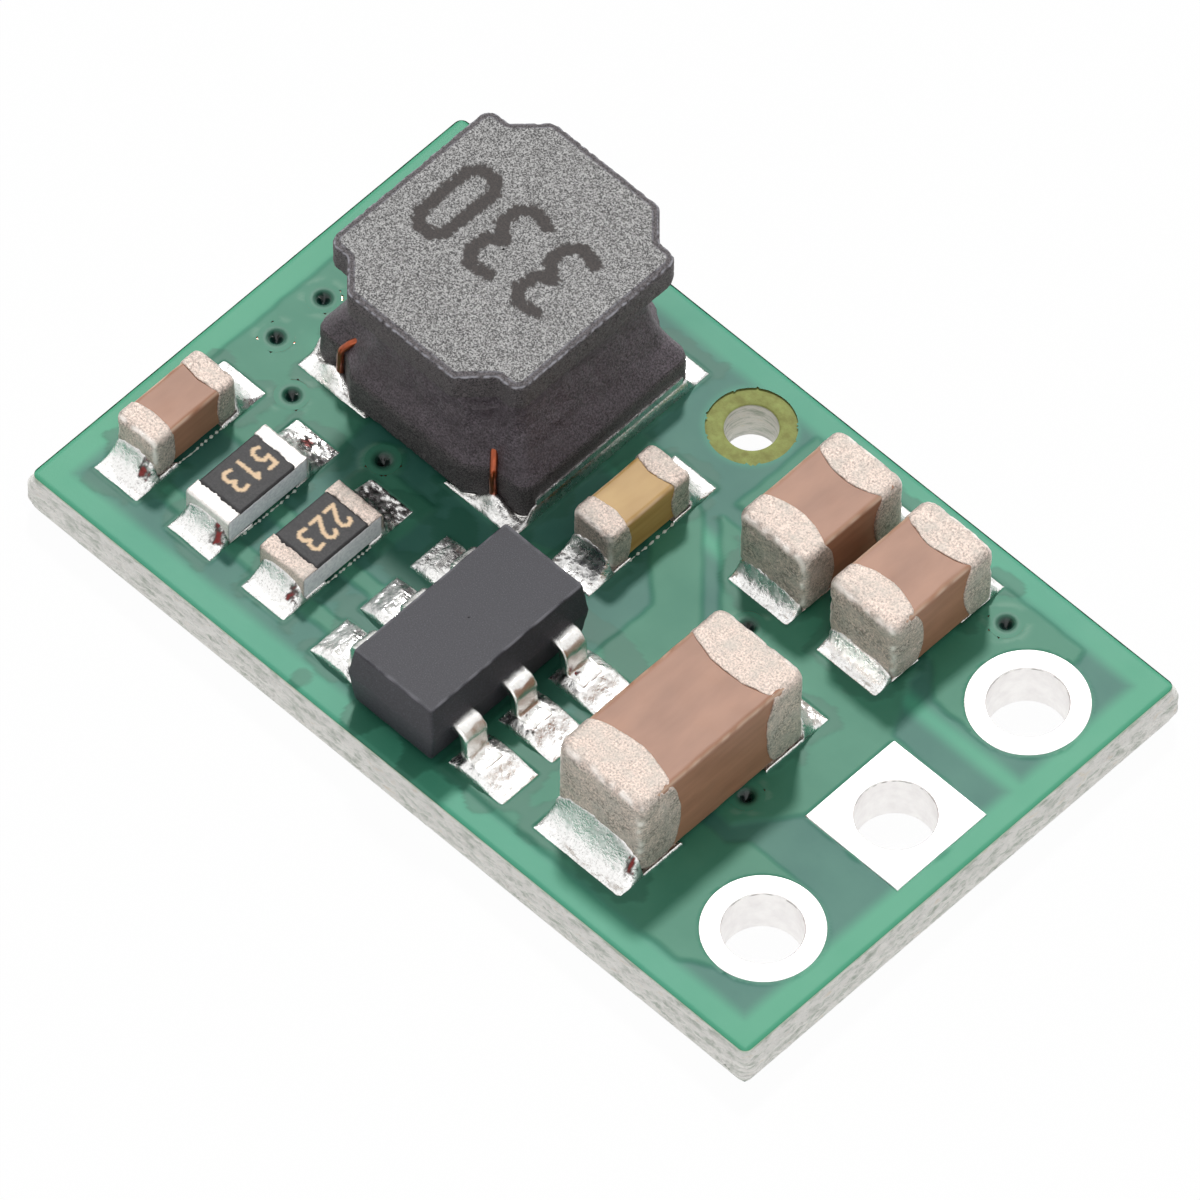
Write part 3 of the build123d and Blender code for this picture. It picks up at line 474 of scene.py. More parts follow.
colour = add(tree, "Mix", {"Factor": worn.outputs["Result"], 6: colour.outputs[2], 7: linear("bdb8b0")},
             data_type="RGBA")
upright = add(tree, "Attribute", {}, attribute_name="upright").outputs["Fac"]
coarse = add(tree, "TexNoise", {"Vector": place, "Scale": 1000 / 0.045, "Detail": 2.0, "Roughness": 0.8})
coarse = add(tree, "MapRange", {"Value": coarse.outputs["Fac"], "From Min": 0.47, "From Max": 0.60})
speckle = add(tree, "Math", {0: coarse.outputs["Result"], 1: upright}, operation="MULTIPLY").outputs[0]
colour = add(tree, "Mix", {"Factor": speckle, 6: colour.outputs[2], 7: linear("6f6b62")}, data_type="RGBA")
# Near white along the rounded end edge: a painted highlight, on metal that is also taken as worn smooth
# there.
painted_highlight = add(tree, "Attribute", {}, attribute_name="worn").outputs["Fac"]
colour = add(tree, "Mix", {"Factor": painted_highlight, 6: colour.outputs[2], 7: linear("fff8f2")}, data_type="RGBA")
relief = add(tree, "Bump", {"Height": patch, "Distance": 0.030 / 1000}).outputs["Normal"]
relief = add(tree, "Bump", {"Height": grain, "Distance": 0.022 / 1000, "Normal": relief})
set_inputs(tree, shader, {"Base Color": colour.outputs[2], "Metallic": 0.78, "Roughness": 0.54,
                          "Normal": relief.outputs["Normal"]})
print("dipped ends:", len(tree.nodes), "nodes")

# %% Plated bands
# Sputtered and tinned band: smoother than a dipped end, close to white.
BAND, tree, shader, place = new_material("tinned_band")
grain = add(tree, "TexNoise",
            {"Vector": place, "Scale": 1000 / 0.045, "Detail": 3.0, "Roughness": 0.7}).outputs["Fac"]
dull = add(tree, "MapRange", {"Value": grain, "From Min": 0.50, "From Max": 0.75, "To Max": 0.5})
colour = add(tree, "Mix", {"Factor": dull.outputs["Result"], 6: linear("efebe7"), 7: linear("a8a098")},
             data_type="RGBA")
relief = add(tree, "Bump", {"Height": grain, "Distance": 0.006 / 1000})
set_inputs(tree, shader, {"Base Color": colour.outputs[2], "Metallic": 0.8, "Roughness": 0.55,
                          "Normal": relief.outputs["Normal"]})
print("plated bands:", len(tree.nodes), "nodes")

# %% [markdown]
# ## Leads, pin plating and copper
#
# The leads are copper strip, tinned and then bent, so they are smooth mirrors with fine scratches across
# them, and look white or black by what they face. The pin holes have a flat silvery finish that blazes
# under the lamp. The copper foil lies under the lacquer and hardly shows. The inductor's wire is copper
# under clear enamel.

# %% Leads
# Tinned copper strip, stamped and bent: a mirror with drawn scratches.
LEAD, tree, shader, place = new_material("tinned_strip")
across = add(tree, "Mapping", {"Vector": place, "Scale": (1.0, 6.0, 1.0)}).outputs["Vector"]
scratch = add(tree, "TexNoise",
              {"Vector": across, "Scale": 1000 / 0.05, "Detail": 4.0, "Roughness": 0.7}).outputs["Fac"]
dull = add(tree, "MapRange", {"Value": scratch, "From Min": 0.5, "From Max": 0.75, "To Max": 0.5})
colour = add(tree, "Mix", {"Factor": dull.outputs["Result"], 6: linear("f3f2ef"), 7: linear("a29d92")},
             data_type="RGBA")
relief = add(tree, "Bump", {"Height": scratch, "Distance": 0.004 / 1000})
set_inputs(tree, shader, {"Base Color": colour.outputs[2], "Metallic": 1.0, "Roughness": 0.17,
                          "Normal": relief.outputs["Normal"]})
print("leads:", len(tree.nodes), "nodes")

# %% Pin plating
# Silvery immersion finish over copper: nearly white, satin, with a faint mottle.
PIN_PLATING, tree, shader, place = new_material("immersion_silver")
mottle = add(tree, "TexNoise", {"Vector": place, "Scale": 1000 / 0.22, "Detail": 4.0, "Roughness": 0.6})
mottle = add(tree, "MapRange", {"Value": mottle.outputs["Fac"], "From Min": 0.35, "From Max": 0.7,
                                          "To Max": 0.35})
colour = add(tree, "Mix", {"Factor": mottle.outputs["Result"], 6: linear("fcfaf8"),
                                     7: linear("dad5d6")}, data_type="RGBA")
rag = add(tree, "Attribute", {}, attribute_name="rag").outputs["Fac"]
colour = add(tree, "Mix", {"Factor": rag, 6: colour.outputs[2], 7: linear("4b453f")}, data_type="RGBA")
peel = add(tree, "TexNoise", {"Vector": place, "Scale": 1000 / 0.06, "Detail": 3.0}).outputs["Fac"]
relief = add(tree, "Bump", {"Height": peel, "Distance": 0.002 / 1000})
set_inputs(tree, shader, {"Base Color": colour.outputs[2], "Metallic": 1.0, "Roughness": 0.42,
                          "Normal": relief.outputs["Normal"]})
print("pin plating:", len(tree.nodes), "nodes")

# %% Copper and enamelled wire
# Copper foil, and drawn copper wire under clear enamel: warm orange, darker in patches, with the enamel's
# own gloss.
COPPERS = []
for name, hex_colour in (("copper_foil", "b8622f"), ("enamelled_wire", "ad4f22")):
    material, tree, shader, place = new_material(name)
    tarnish = add(tree, "TexNoise", {"Vector": place, "Scale": 1000 / 0.08, "Detail": 3.0}).outputs["Fac"]
    tarnish = add(tree, "MapRange", {"Value": tarnish, "From Min": 0.3, "From Max": 0.7, "To Max": 0.5})
    colour = add(tree, "Mix", {"Factor": tarnish.outputs["Result"], 6: linear(hex_colour),
                                         7: linear("6a2a14")}, data_type="RGBA")
    set_inputs(tree, shader, {"Base Color": colour.outputs[2], "Metallic": 0.85, "Roughness": 0.28,
                              "Coat Weight": 0.6, "Coat Roughness": 0.08})
    COPPERS.append(material)
COPPER, ENAMEL = COPPERS
print("coppers:", [material.name for material in COPPERS])

# %% [markdown]
# ## Ceramic of the capacitors
#
# The body of a chip capacitor is a fired stack of ceramic layers. It is brown or tan, even, and a little
# glossy, with faint streaks along the layers. A slow stretched noise gives the streaks. They are kept
# weak, because strong ones would read as wood.

# %% Ceramics
# Fired dielectric: smooth, even and softly glossy, in a pinkish brown or a yellowish tan.
CERAMICS = []
for name, light, dark in (("fired_brown_ceramic", "a97a5f", "94684f"),
                          ("fired_tan_ceramic", "c09a5a", "a9813f")):
    material, tree, shader, place = new_material(name)
    layers = add(tree, "Mapping", {"Vector": place, "Scale": (1.0, 0.35, 2.2)}).outputs["Vector"]
    streak = add(tree, "TexNoise", {"Vector": layers, "Scale": 1000 / 0.40, "Detail": 3.0})
    streak = add(tree, "MapRange", {"Value": streak.outputs["Fac"], "From Min": 0.3, "From Max": 0.7})
    colour = add(tree, "Mix", {"Factor": streak.outputs["Result"], 6: linear(light), 7: linear(dark)},
                 data_type="RGBA")
    # The long rounded edges are painted pale: a painted highlight.
    worn = add(tree, "Attribute", {}, attribute_name="worn").outputs["Fac"]
    colour = add(tree, "Mix", {"Factor": worn, 6: colour.outputs[2], 7: linear("efd9c2")},
                 data_type="RGBA")
    fine = add(tree, "TexNoise", {"Vector": place, "Scale": 1000 / 0.02, "Detail": 2.0}).outputs["Fac"]
    relief = add(tree, "Bump", {"Height": fine, "Distance": 0.0008 / 1000})
    set_inputs(tree, shader, {"Base Color": colour.outputs[2], "Roughness": 0.50,
                              "Normal": relief.outputs["Normal"]})
    CERAMICS.append(material)
CERAMIC, CERAMIC_TAN = CERAMICS
print("ceramics:", [material.name for material in CERAMICS])

# %% [markdown]
# ## Ferrite and resin of the inductor
#
# The drum is pressed from ferrite powder and sintered. Its ground top is a salt-and-pepper grey, while
# the rounded border and the sides keep the darker, purplish pressed skin. The code on top is a brownish
# ink. The resin between the flanges is filled with ferrite powder, so it is darker and granular, with
# small glints. Noise with few octaves and steep limits gives grains; many octaves would give clouds.

# %% Ferrite
# Sintered ferrite: ground top with salt-and-pepper grains, darker pressed skin on the border. The grains
# are drawn at 0.023 mm, because finer ones would not show.
FERRITE, tree, shader, place = new_material("sintered_ferrite")
salt = add(tree, "TexNoise",
           {"Vector": place, "Scale": 1000 / 0.023, "Detail": 2.0, "Roughness": 0.8}).outputs["Fac"]
pepper = add(tree, "TexNoise",
             {"Vector": place, "Scale": 1000 / 0.05, "Detail": 2.0, "Roughness": 0.7}).outputs["Fac"]
light = add(tree, "MapRange", {"Value": salt, "From Min": 0.41, "From Max": 0.60}).outputs["Result"]
colour = add(tree, "Mix", {"Factor": light, 6: linear("302f2f"), 7: linear("c0bfbe")}, data_type="RGBA")
specks = add(tree, "MapRange", {"Value": pepper, "From Min": 0.50, "From Max": 0.66, "To Max": 0.5})
colour = add(tree, "Mix", {"Factor": specks.outputs["Result"], 6: colour.outputs[2],
                                     7: linear("4f4d4b")}, data_type="RGBA")
skin = add(tree, "Mix", {"Factor": light, 6: linear("2c282a"), 7: linear("6a6466")}, data_type="RGBA")
border = add(tree, "Attribute", {}, attribute_name="border").outputs["Fac"]
colour = add(tree, "Mix", {"Factor": border, 6: colour.outputs[2], 7: skin.outputs[2]},
             data_type="RGBA")
# Paler along the upper flange's rounded edge and the groove's inner side.
worn = add(tree, "Attribute", {}, attribute_name="worn").outputs["Fac"]
colour = add(tree, "Mix", {"Factor": worn, 6: colour.outputs[2], 7: linear("b4b4bc")}, data_type="RGBA")
print_colour = add(tree, "Mix", {"Factor": light, 6: linear("1d1816"), 7: linear("3a322f")},
                   data_type="RGBA")
ink = add(tree, "Attribute", {}, attribute_name="ink").outputs["Fac"]
colour = add(tree, "Mix", {"Factor": ink, 6: colour.outputs[2], 7: print_colour.outputs[2]},
             data_type="RGBA")
relief = add(tree, "Bump", {"Height": pepper, "Distance": 0.006 / 1000}).outputs["Normal"]
relief = add(tree, "Bump", {"Height": salt, "Distance": 0.006 / 1000, "Normal": relief})
set_inputs(tree, shader, {"Base Color": colour.outputs[2], "Roughness": 0.58, "Specular IOR Level": 0.38,
                          "Normal": relief.outputs["Normal"]})
print("ferrite:", len(tree.nodes), "nodes")

# %% Resin
# Epoxy filled with ferrite powder, cast and cured: dark purplish grey, granular, with small glints. Its
# grains are drawn at 0.028 mm, coarse enough to show.
RESIN, tree, shader, place = new_material("ferrite_filled_resin")
grain = add(tree, "TexNoise",
            {"Vector": place, "Scale": 1000 / 0.028, "Detail": 2.0, "Roughness": 0.75}).outputs["Fac"]
light = add(tree, "MapRange", {"Value": grain, "From Min": 0.38, "From Max": 0.68}).outputs["Result"]
colour = add(tree, "Mix", {"Factor": light, 6: linear("302a2d"), 7: linear("7c717a")}, data_type="RGBA")
patch = add(tree, "TexNoise", {"Vector": place, "Scale": 1000 / 0.5, "Detail": 3.0, "Roughness": 0.6})
patch = add(tree, "MapRange", {"Value": patch.outputs["Fac"], "From Min": 0.35, "From Max": 0.7,
                                         "To Max": 0.45})
colour = add(tree, "Mix", {"Factor": patch.outputs["Result"], 6: colour.outputs[2],
                                     7: linear("433a3e")}, data_type="RGBA")
lumps = add(tree, "TexNoise", {"Vector": place, "Scale": 1000 / 0.12, "Detail": 3.0}).outputs["Fac"]
relief = add(tree, "Bump", {"Height": lumps, "Distance": 0.020 / 1000}).outputs["Normal"]
relief = add(tree, "Bump", {"Height": grain, "Distance": 0.009 / 1000, "Normal": relief})
set_inputs(tree, shader, {"Base Color": colour.outputs[2], "Roughness": 0.50,
                          "Normal": relief.outputs["Normal"]})
print("resin:", len(tree.nodes), "nodes")

# %% [markdown]
# ## Moulding, overcoat, alumina and silicon
#
# The controller is moulded in black epoxy with fine silica filler, so it is matte charcoal with pale
# specks, and its rounded top edge is paler. A resistor is a white alumina tile, with a black glass overcoat
# on top that takes the light tan code. The silicon chip inside the controller is never seen, and has a
# plain ground metal look.

# %% Moulding
# Black epoxy with silica filler, moulded: matte, faintly bluish, speckled. The filler is drawn at 0.016
# mm, because finer grains would not show.
MOULDING, tree, shader, place = new_material("black_moulding")
speck = add(tree, "TexNoise", {"Vector": place, "Scale": 1000 / 0.016, "Detail": 2.0, "Roughness": 0.8})
speck = add(tree, "MapRange", {"Value": speck.outputs["Fac"], "From Min": 0.52, "From Max": 0.74})
colour = add(tree, "Mix", {"Factor": speck.outputs["Result"], 6: linear("232229"),
                                     7: linear("52525c")}, data_type="RGBA")
# Paler along the rounded top edge.
worn = add(tree, "Attribute", {}, attribute_name="worn").outputs["Fac"]
colour = add(tree, "Mix", {"Factor": worn, 6: colour.outputs[2], 7: linear("8e8d94")}, data_type="RGBA")
texture = add(tree, "TexNoise", {"Vector": place, "Scale": 1000 / 0.03, "Detail": 3.0, "Roughness": 0.7})
relief = add(tree, "Bump", {"Height": texture.outputs["Fac"], "Distance": 0.003 / 1000})
set_inputs(tree, shader, {"Base Color": colour.outputs[2], "Roughness": 0.60,
                          "Normal": relief.outputs["Normal"]})
print("moulding:", len(tree.nodes), "nodes")

# %% Overcoat
# Black glass, screened and fired: satin, with the value code in tan ink.
OVERCOAT, tree, shader, place = new_material("black_overcoat")
mottle = add(tree, "TexNoise", {"Vector": place, "Scale": 1000 / 0.03, "Detail": 3.0}).outputs["Fac"]
lighter = add(tree, "MapRange", {"Value": mottle, "From Min": 0.4, "From Max": 0.7, "To Max": 0.5})
colour = add(tree, "Mix", {"Factor": lighter.outputs["Result"], 6: linear("262526"),
                                     7: linear("423f40")}, data_type="RGBA")
ink = add(tree, "Attribute", {}, attribute_name="ink").outputs["Fac"]
colour = add(tree, "Mix", {"Factor": ink, 6: colour.outputs[2], 7: linear("e6c7a2")}, data_type="RGBA")
relief = add(tree, "Bump", {"Height": mottle, "Distance": 0.002 / 1000})
set_inputs(tree, shader, {"Base Color": colour.outputs[2], "Roughness": 0.62,
                          "Normal": relief.outputs["Normal"]})
print("overcoat:", len(tree.nodes), "nodes")

# %% Alumina and silicon
# Alumina: fired and snapped, milky white. Silicon: ground, steel grey.
ALUMINA, tree, shader, place = new_material("fired_alumina")
sawn = add(tree, "TexNoise", {"Vector": place, "Scale": 1000 / 0.05, "Detail": 4.0, "Roughness": 0.6})
shade = add(tree, "MapRange", {"Value": sawn.outputs["Fac"], "From Min": 0.35, "From Max": 0.7})
colour = add(tree, "Mix", {"Factor": shade.outputs["Result"], 6: linear("f4f4f6"),
                                     7: linear("d3d3da")}, data_type="RGBA")
relief = add(tree, "Bump", {"Height": sawn.outputs["Fac"], "Distance": 0.003 / 1000})
set_inputs(tree, shader, {"Base Color": colour.outputs[2], "Roughness": 0.5,
                          "Normal": relief.outputs["Normal"]})

SILICON, tree, shader, place = new_material("ground_silicon")
lines = add(tree, "TexNoise", {"Vector": place, "Scale": 1000 / 0.1, "Detail": 3.0}).outputs["Fac"]
colour = add(tree, "Mix", {"Factor": lines, 6: linear("5c5c63"), 7: linear("7b7b84")}, data_type="RGBA")
set_inputs(tree, shader, {"Base Color": colour.outputs[2], "Metallic": 0.6, "Roughness": 0.3})
print("alumina and silicon are ready;", len(bpy.data.materials), "materials in the file")

# %% [markdown]
# ## Board
#
# The copper under the mask is described by signed distances: each island is a few rings, pads and traces,
# and the distance to the island is the least of theirs. The mask is a height field that steps up over the
# copper, sags between, and dips into each via.

# %% Copper layout
def pad_box(chip, side):
    """Corners x0, x1, y0, y1 of a chip part's pad."""
    outer = chip["pad_y"] + side * chip["pad_span"] / 2
    inner = outer - side * chip["pad_length"]
    half = chip["pad_width"] / 2
    return chip["pad_x"] - half, chip["pad_x"] + half, min(inner, outer), max(inner, outer)


def lead_pad_box(side, row):
    """Corners of a controller pad."""
    outer = CONTROLLER_PAD[0] + side * CONTROLLER_PAD_SPAN / 2
    inner = outer - side * CONTROLLER_PAD_SIZE[0]
    half = CONTROLLER_PAD_SIZE[1] / 2
    return min(inner, outer), max(inner, outer), LEAD_ROWS[row] - half, LEAD_ROWS[row] + half


def inductor_pad_box(side):
    """Corners of an inductor pad."""
    length, width, across = INDUCTOR_PAD
    outer = INDUCTOR[0] + side * across / 2
    inner = outer - side * width
    return min(inner, outer), max(inner, outer), INDUCTOR[1] - length / 2, INDUCTOR[1] + length / 2


PAD_HIGH_X = CONTROLLER_PAD[0] + CONTROLLER_PAD_SPAN / 2
PAD_LOW_X = CONTROLLER_PAD[0] - CONTROLLER_PAD_SPAN / 2
FAR_Y = BOARD_WIDTH - 0.42
TOP_RINGS = [
    [(0.42, 2.32), (2.725, 2.32), (2.725, 3.14), (2.603, 3.76), (2.603, FAR_Y), (0.42, FAR_Y)],
    [(3.10, 2.32), (4.275, 2.32), (4.275, 3.39), (3.10, 3.39)],
    [(5.367, 5.57), (6.355, 5.57), (6.355, 6.20), (5.367, 6.20)],
    [(6.595, 5.98), (6.855, 5.87), (PAD_HIGH_X, 4.37), (PAD_HIGH_X, 2.82), (7.45, 2.82), (7.45, 4.30),
     (6.745, 4.97), (6.595, 5.06)],
    [(8.54, 2.496), (10.65, 2.496), (11.27, 3.29), (PIN_X, 3.29), (PIN_X, 4.98), (11.20, 5.01),
     (10.72, 5.85),
     (10.70, 6.00), (7.12, 6.00), (7.12, 5.95), (8.54, 4.50)],
    [(7.21, 0.45), (PIN_X - 0.45, 0.45), (PIN_X, 0.76), (PIN_X, 2.44), (11.05, 2.46), (10.80, 2.226),
     (7.21, 2.226)],
    [(7.12, 6.27), (10.74, 6.27), (11.20, 5.82), (PIN_X, 5.81), (PIN_X, 7.62), (PIN_X - 0.05, 7.80),
     (7.12, 7.80)],
]
TOP_TRACES = [
    [(0.947, 1.06), (PAD_LOW_X + 0.2, 1.06)],
    [(2.325, LEAD_ROWS[1]), (PAD_LOW_X + 0.2, LEAD_ROWS[1])],
    [(6.155, 4.00), (5.71, 3.80), (5.21, LEAD_ROWS[2])],
]
BOTTOM_RINGS = [
    [(0.42, 3.05), (2.00, 3.05), (2.00, 5.70), (12.915, 5.70), (12.915, FAR_Y), (0.42, FAR_Y)],
    [(0.42, 0.42), (12.915, 0.42), (12.915, 5.45), (2.25, 5.45), (2.25, 2.80), (0.42, 2.80)],
]
PADS = [pad_box(chip, side) for chip in CHIPS.values() for side in (-1, 1)]
PADS += [lead_pad_box(side, row) for side in (-1, 1) for row in range(3)]
PADS += [inductor_pad_box(side) for side in (-1, 1)]


def copper_top_distance(x, y):
    """Signed distance to the copper of the top face."""
    best = np.full(np.shape(x), 1e9)
    for ring in TOP_RINGS:
        best = np.minimum(best, ring_distance(x, y, ring))
    for run in TOP_TRACES:
        best = np.minimum(best, segment_distance(x, y, run) - TRACE / 2)
    for pad in PADS:
        best = np.minimum(best, rectangle_distance(x, y, *pad))
    best = np.minimum(best, np.hypot(x - VIAS[4][0], y - VIAS[4][1]) - 0.29)
    for pin_y in PIN_Y:
        best = np.minimum(best, np.hypot(x - PIN_X, y - pin_y) - PIN_PAD / 2)
    return best


def copper_bottom_distance(x, y):
    """Signed distance to the copper of the underside."""
    best = np.full(np.shape(x), 1e9)
    for ring in BOTTOM_RINGS:
        best = np.minimum(best, ring_distance(x, y, ring))
    hole = np.hypot(x - PLAIN_HOLE_AT[0], y - PLAIN_HOLE_AT[1]) - PLAIN_OPENING / 2
    return np.maximum(best, -hole)


print("copper outlines:", len(TOP_RINGS), "above,", len(BOTTOM_RINGS), "below")


# %% [markdown]
# The lacquer is screened with openings over the pads. A grid that ends or drops along its own cells would
# leave stairs there, so its nearest points are first drawn onto the edge. A boolean cut would leave long
# thin faces.

# %% Openings in the lacquer
def pin_pad_distance(x, y, row):
    """Signed distance to a pin hole's pad: a square for the ground pin, round for the other two."""
    half = PIN_PAD / 2
    if row == 1:
        return rectangle_distance(x, y, PIN_X - half, PIN_X + half, PIN_Y[row] - half, PIN_Y[row] + half)
    return np.hypot(x - PIN_X, y - PIN_Y[row]) - half


def opening_distance(x, y, pads):
    """Signed distance to the nearest opening in the lacquer: the least over the pads and the pin pads."""
    best = np.minimum.reduce([pin_pad_distance(x, y, row) for row in range(3)])
    for pad in pads:
        best = np.minimum(best, rectangle_distance(x, y, *pad))
    return best


def snap_to_circle(x, y, centre, radius, reach):
    """Moves the grid's points that lie within reach of a circle onto it, so that a hole cut there is
    round."""
    dx, dy = x - centre[0], y - centre[1]
    away = np.maximum(np.hypot(dx, dy), 1e-9)
    near = np.abs(away - radius) < reach
    x = np.where(near, centre[0] + dx / away * radius, x)
    y = np.where(near, centre[1] + dy / away * radius, y)
    return x, y


def snap_to_box(x, y, box, reach):
    """Moves the grid's points that lie within reach of a box's sides onto them, so that its edges are
    straight."""
    x0, x1, y0, y1 = box
    beside, along = (y > y0 - reach) & (y < y1 + reach), (x > x0 - reach) & (x < x1 + reach)
    for side in (x0, x1):
        x = np.where(beside & (np.abs(x - side) < reach), side, x)
    for side in (y0, y1):
        y = np.where(along & (np.abs(y - side) < reach), side, y)
    return x, y


def face_grid(spacing, pads):
    """Grid of places over the board's face, with its outer rows bent in to the corners and its points
    drawn onto the edges of the openings."""
    columns, rows = round(BOARD_LENGTH / spacing) + 1, round(BOARD_WIDTH / spacing) + 1
    x, y = np.meshgrid(np.linspace(0, BOARD_LENGTH, columns), np.linspace(0, BOARD_WIDTH, rows))
    reach, half = 0.52 * spacing, PIN_PAD / 2
    for pad in [*pads, (PIN_X - half, PIN_X + half, PIN_Y[1] - half, PIN_Y[1] + half)]:
        x, y = snap_to_box(x, y, pad, reach)
    circles = [((PIN_X, PIN_Y[0]), half), ((PIN_X, PIN_Y[2]), half), (PLAIN_HOLE_AT, PLAIN_OPENING / 2)]
    for centre, radius in circles + [(via, VIA_SKIN) for via in VIAS]:
        x, y = snap_to_circle(x, y, centre, radius, 0.6 * spacing)
    cx = np.clip(x, CORNER_RADIUS, BOARD_LENGTH - CORNER_RADIUS)
    cy = np.clip(y, CORNER_RADIUS, BOARD_WIDTH - CORNER_RADIUS)
    away = np.hypot(x - cx, y - cy)
    pull = np.where(away > CORNER_RADIUS, CORNER_RADIUS / np.maximum(away, 1e-9), 1.0)
    return cx + (x - cx) * pull, cy + (y - cy) * pull


VIA_SKIN = 0.25
print("openings over the parts' pads:", len(PADS))


# %% [markdown]
# The lacquer flows over the copper and leaves soft steps. Bump in the material could fake them, but real
# heights also show at the edges and in the export. The vias are closed by the lacquer, which sinks into
# them.

# %% Lacquer of the top face
def lacquer_faces(shape, px, py, vias=()):
    """Faces of the grid, less those over the plain hole, inside the pin pads and under the given vias'
    skins."""
    faces = grid_faces(*shape)
    middle_x, middle_y = px[faces].mean(axis=1), py[faces].mean(axis=1)
    keep = np.hypot(middle_x - PLAIN_HOLE_AT[0], middle_y - PLAIN_HOLE_AT[1]) > PLAIN_OPENING / 2
    for pin_y in PIN_Y:
        keep &= np.hypot(middle_x - PIN_X, middle_y - pin_y) > PIN_BORE / 2 + 0.12
    for vx, vy in vias:
        keep &= np.hypot(middle_x - vx, middle_y - vy) > VIA_SKIN
    return faces[keep]


def top_lacquer():
    """Lacquer of the top face.

    Height over a place: low + (high - low) * step(-d), where d is the distance to the copper, plus a film
    of flux that ends in a small edge round the pads. Inside an opening it drops out of sight under the
    pad's metal."""
    x, y = face_grid(0.040, PADS)
    px, py = x.ravel(), y.ravel()
    flat = np.stack([px, py], axis=1)
    copper = copper_top_distance(px, py) + 0.010 * wave(flat, 0.5, 11)
    over = step(-copper, -0.05, 0.03)
    under = step(-copper_bottom_distance(px, py), -0.12, 0.12)
    pads = opening_distance(px, py, PADS)
    parts = np.minimum.reduce([rectangle_distance(px, py, *pad) for pad in PADS])
    pool = rectangle_distance(px, py, 5.1, 8.0, 0.5, 3.4) + 0.22 * wave(flat, 1.0, 15)
    reach = 0.15 + 0.09 * wave(flat, 1.1, 12) + 0.03 * wave(flat, 0.3, 13)
    flux = np.maximum(step(reach - parts, 0.0, 0.045), step(0.20 - pool, 0.0, 0.06))
    z = MASK_LOW + (MASK_HIGH - MASK_LOW) * over + 0.006 * flux + 0.0015 * wave(flat, 0.8, 14)
    z = np.where(pads < -0.004, np.minimum(z, MASK_LOW - 0.01), z)
    rim = np.minimum.reduce([px, BOARD_LENGTH - px, py, BOARD_WIDTH - py])
    z = z - 0.03 * (1 - step(rim, 0.0, 0.05))
    # A pale ring 0.30 mm out from each via, broken by noise: a painted highlight of the raised rim.
    halo = np.minimum.reduce([np.abs(np.hypot(px - vx, py - vy) - 0.30) for vx, vy in VIAS])
    crust = 0.10 * np.exp(-((halo / 0.05) ** 2)) * step(wave(flat, 0.35, 16), 0.0, 1.2)
    return np.column_stack([px, py, z]), lacquer_faces(x.shape, px, py, VIAS), {
        "copper_top": over, "copper_bottom": under, "flux": flux, "crust": crust,
        "edge": np.exp(-((copper / 0.035) ** 2)) * 0.35 * step(np.abs(pads), 0.05, 0.12)}


def via_skin(x, y):
    """Lacquer over a via, turned about its axis: a bowl of depth 0.11 * exp(-(r / 0.08)^2) with a rise of
    0.002 at its rim."""
    radius, angle = np.meshgrid(np.linspace(1e-4, VIA_SKIN, 26), np.linspace(0, 2 * math.pi, 57)[:-1],
                                indexing="ij")
    r = radius.ravel()
    points = np.column_stack([x + r * np.cos(angle.ravel()), y + r * np.sin(angle.ravel()),
                              BOARD_TOP - 0.11 * np.exp(-((r / 0.08) ** 2)) + 0.002 * step(r, 0.12, 0.25)])
    ones = np.ones(len(r))
    # The pit attribute paints the bowl's middle dark: painted shade in the hole.
    return points, grid_faces(26, 56, wrap=True)[:, ::-1], {
        "copper_top": ones, "copper_bottom": ones, "pit": 1 - step(r, 0.05, 0.21)}


make_piece("top_lacquer", join([top_lacquer(), *[via_skin(*via) for via in VIAS]]), MASK, "solder_mask",
           "board_mask_top")


# %% [markdown]
# Nothing is fitted to the underside, so the same rule is turned over. The board rests on the areas over
# the copper.

# %% Lacquer of the underside
def bottom_lacquer():
    """Lacquer of the underside: the same rule, turned over. It stands on the copper's plane and is
    thinner between, and has the pin pads, the plain hole and a small dimple at each via."""
    x, y = face_grid(0.050, [])
    px, py = x.ravel(), y.ravel()
    flat = np.stack([px, py], axis=1)
    copper = copper_bottom_distance(px, py) + 0.010 * wave(flat, 0.5, 17)
    near = step(-copper, -0.05, 0.03)
    z = 0.002 + 0.028 * (1 - near)
    pit = np.zeros(len(px))
    for vx, vy in VIAS:
        r = np.hypot(px - vx, py - vy)
        z = z + 0.03 * np.exp(-((r / 0.10) ** 2))
        # The pit attribute paints each dimple's middle dark: painted shade in the hole.
        pit = np.maximum(pit, 0.9 * np.exp(-((r / 0.11) ** 2)))
    z = np.where(opening_distance(px, py, []) < -0.004, 0.04, z)
    rim = np.minimum.reduce([px, BOARD_LENGTH - px, py, BOARD_WIDTH - py])
    z = z + 0.03 * (1 - step(rim, 0.0, 0.05))
    return np.column_stack([px, py, z]), lacquer_faces(x.shape, px, py)[:, ::-1], {
        "copper_top": near, "copper_bottom": step(-copper_top_distance(px, py), -0.05, 0.05),
        "pit": pit, "edge": np.exp(-((copper / 0.035) ** 2)) * 0.8}


make_piece("bottom_lacquer", bottom_lacquer(), MASK, "solder_mask", "board_mask_bottom")


# %% [markdown]
# The board was scored from both faces and snapped out of a panel. The score leaves a slope, and the break
# a rough web of glass fibres. Sculpting could give that, but noise that is stretched along the edge
# follows the fibres and can be repeated.

